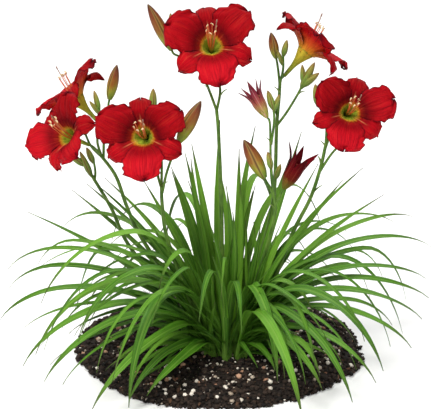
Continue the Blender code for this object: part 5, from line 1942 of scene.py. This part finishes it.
@dataclass
class Studio:
    """Plain pale floor, soft lights and the camera at the photograph's angle of view."""

    target: Place = (-5.0, 0.0, 222.0)
    distance: float = 3500.0
    elevation: float = 20.5
    view_width: float = 606.0
    sensor_width: float = 36.0
    floor_size: float = 12000.0
    lamp_distance: float = 2400.0
    sky: float = 0.42

    def floor(self) -> None:
        """Adds the floor, a large plain square that the bed lies on."""
        shader = Shader("studio_floor", Roughness=0.9, Specular_IOR_Level=0.1)
        tint = shader.noise(shader.place(), 3.0, 2.0)
        material = shader.finish(shader.blend(tint, (0.93, 0.93, 0.93), (0.95, 0.95, 0.947)))
        half = self.floor_size * MM / 2
        mesh = bpy.data.meshes.new("floor")
        corners = [(-half, -half, 0), (half, -half, 0), (half, half, 0), (-half, half, 0)]
        mesh.from_pydata(corners, [], [(0, 1, 2, 3)])
        mesh.materials.append(material)
        floor = bpy.data.objects.new("floor", mesh)
        bpy.context.scene.collection.objects.link(floor)

    def light(self, name: str, azimuth: float, elevation: float, power: float, size: float,
              colour: Colour) -> None:
        """Adds a square area light that points at the plant.

        Args:
            name: the light's name.
            azimuth: direction that it comes from, in degrees; 270 is the camera's side.
            elevation: its height above the level, in degrees.
            power: its power in watts.
            size: its width in metres.
            colour: its colour.
        """
        turn, rise = math.radians(azimuth), math.radians(elevation)
        way = np.array([math.cos(rise) * math.cos(turn), math.cos(rise) * math.sin(turn), math.sin(rise)])
        data = bpy.data.lights.new(name, "AREA")
        data.energy, data.size, data.color = power, size, colour
        lamp = bpy.data.objects.new(name, data)
        aim = Vector(way)
        lamp.location = Vector(point(*self.target) * MM) + self.lamp_distance * MM * aim
        lamp.rotation_euler = aim.to_track_quat("Z", "Y").to_euler()
        bpy.context.scene.collection.objects.link(lamp)

    def camera(self) -> None:
        """Adds the camera, far away with a long lens, and makes it the scene's own."""
        rise = math.radians(self.elevation)
        away = Vector((0.0, -math.cos(rise), math.sin(rise)))
        data = bpy.data.cameras.new("camera")
        data.sensor_width = self.sensor_width
        data.lens = self.sensor_width * self.distance / self.view_width
        camera = bpy.data.objects.new("camera", data)
        camera.location = Vector(point(*self.target) * MM) + self.distance * MM * away
        camera.rotation_euler = away.to_track_quat("Z", "Y").to_euler()
        bpy.context.scene.collection.objects.link(camera)
        bpy.context.scene.camera = camera

    def build(self) -> None:
        """Sets the floor, the lights, the sky and the camera."""
        self.floor()
        for light in LIGHTS:
            self.light(*light)
        bpy.context.scene.view_settings.view_transform = "Standard"
        world = bpy.data.worlds.new("studio")
        world.use_nodes = True
        sky = world.node_tree.nodes["Background"]
        sky.inputs["Color"].default_value = (1.0, 1.0, 1.0, 1.0)
        sky.inputs["Strength"].default_value = self.sky
        bpy.context.scene.world = world
        self.camera()
        LOG.info("studio: floor, %d lights and camera", len(LIGHTS))


def main() -> None:
    """Builds every piece in order, then the studio."""
    logging.basicConfig(level=logging.INFO, format="%(message)s")
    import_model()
    bed = SoilBed()
    bed.build()
    for grains in GRAINS:
        grains.build(bed)
    for number, (name, (middle, half, distance, *looks)) in enumerate(FANS.items()):
        LeafFan(name, number, middle, half, distance, ARCHING[name], UPRIGHT[name], *looks).build()
    for name, plan in STEMS.items():
        FlowerStem(name, **plan).build()
    for name, sizes in LARGE_BUDS.items():
        Bud(name, *sizes).build()
    for name, sizes in HALF_OPEN.items():
        HalfOpenFlower(name, *sizes).build()
    for name, sizes in BLOOMS.items():
        bloom = Bloom(name, *sizes)
        bloom.build()
        Stamens(bloom).build()
    Studio().build()


if __name__ == "__main__":
    main()
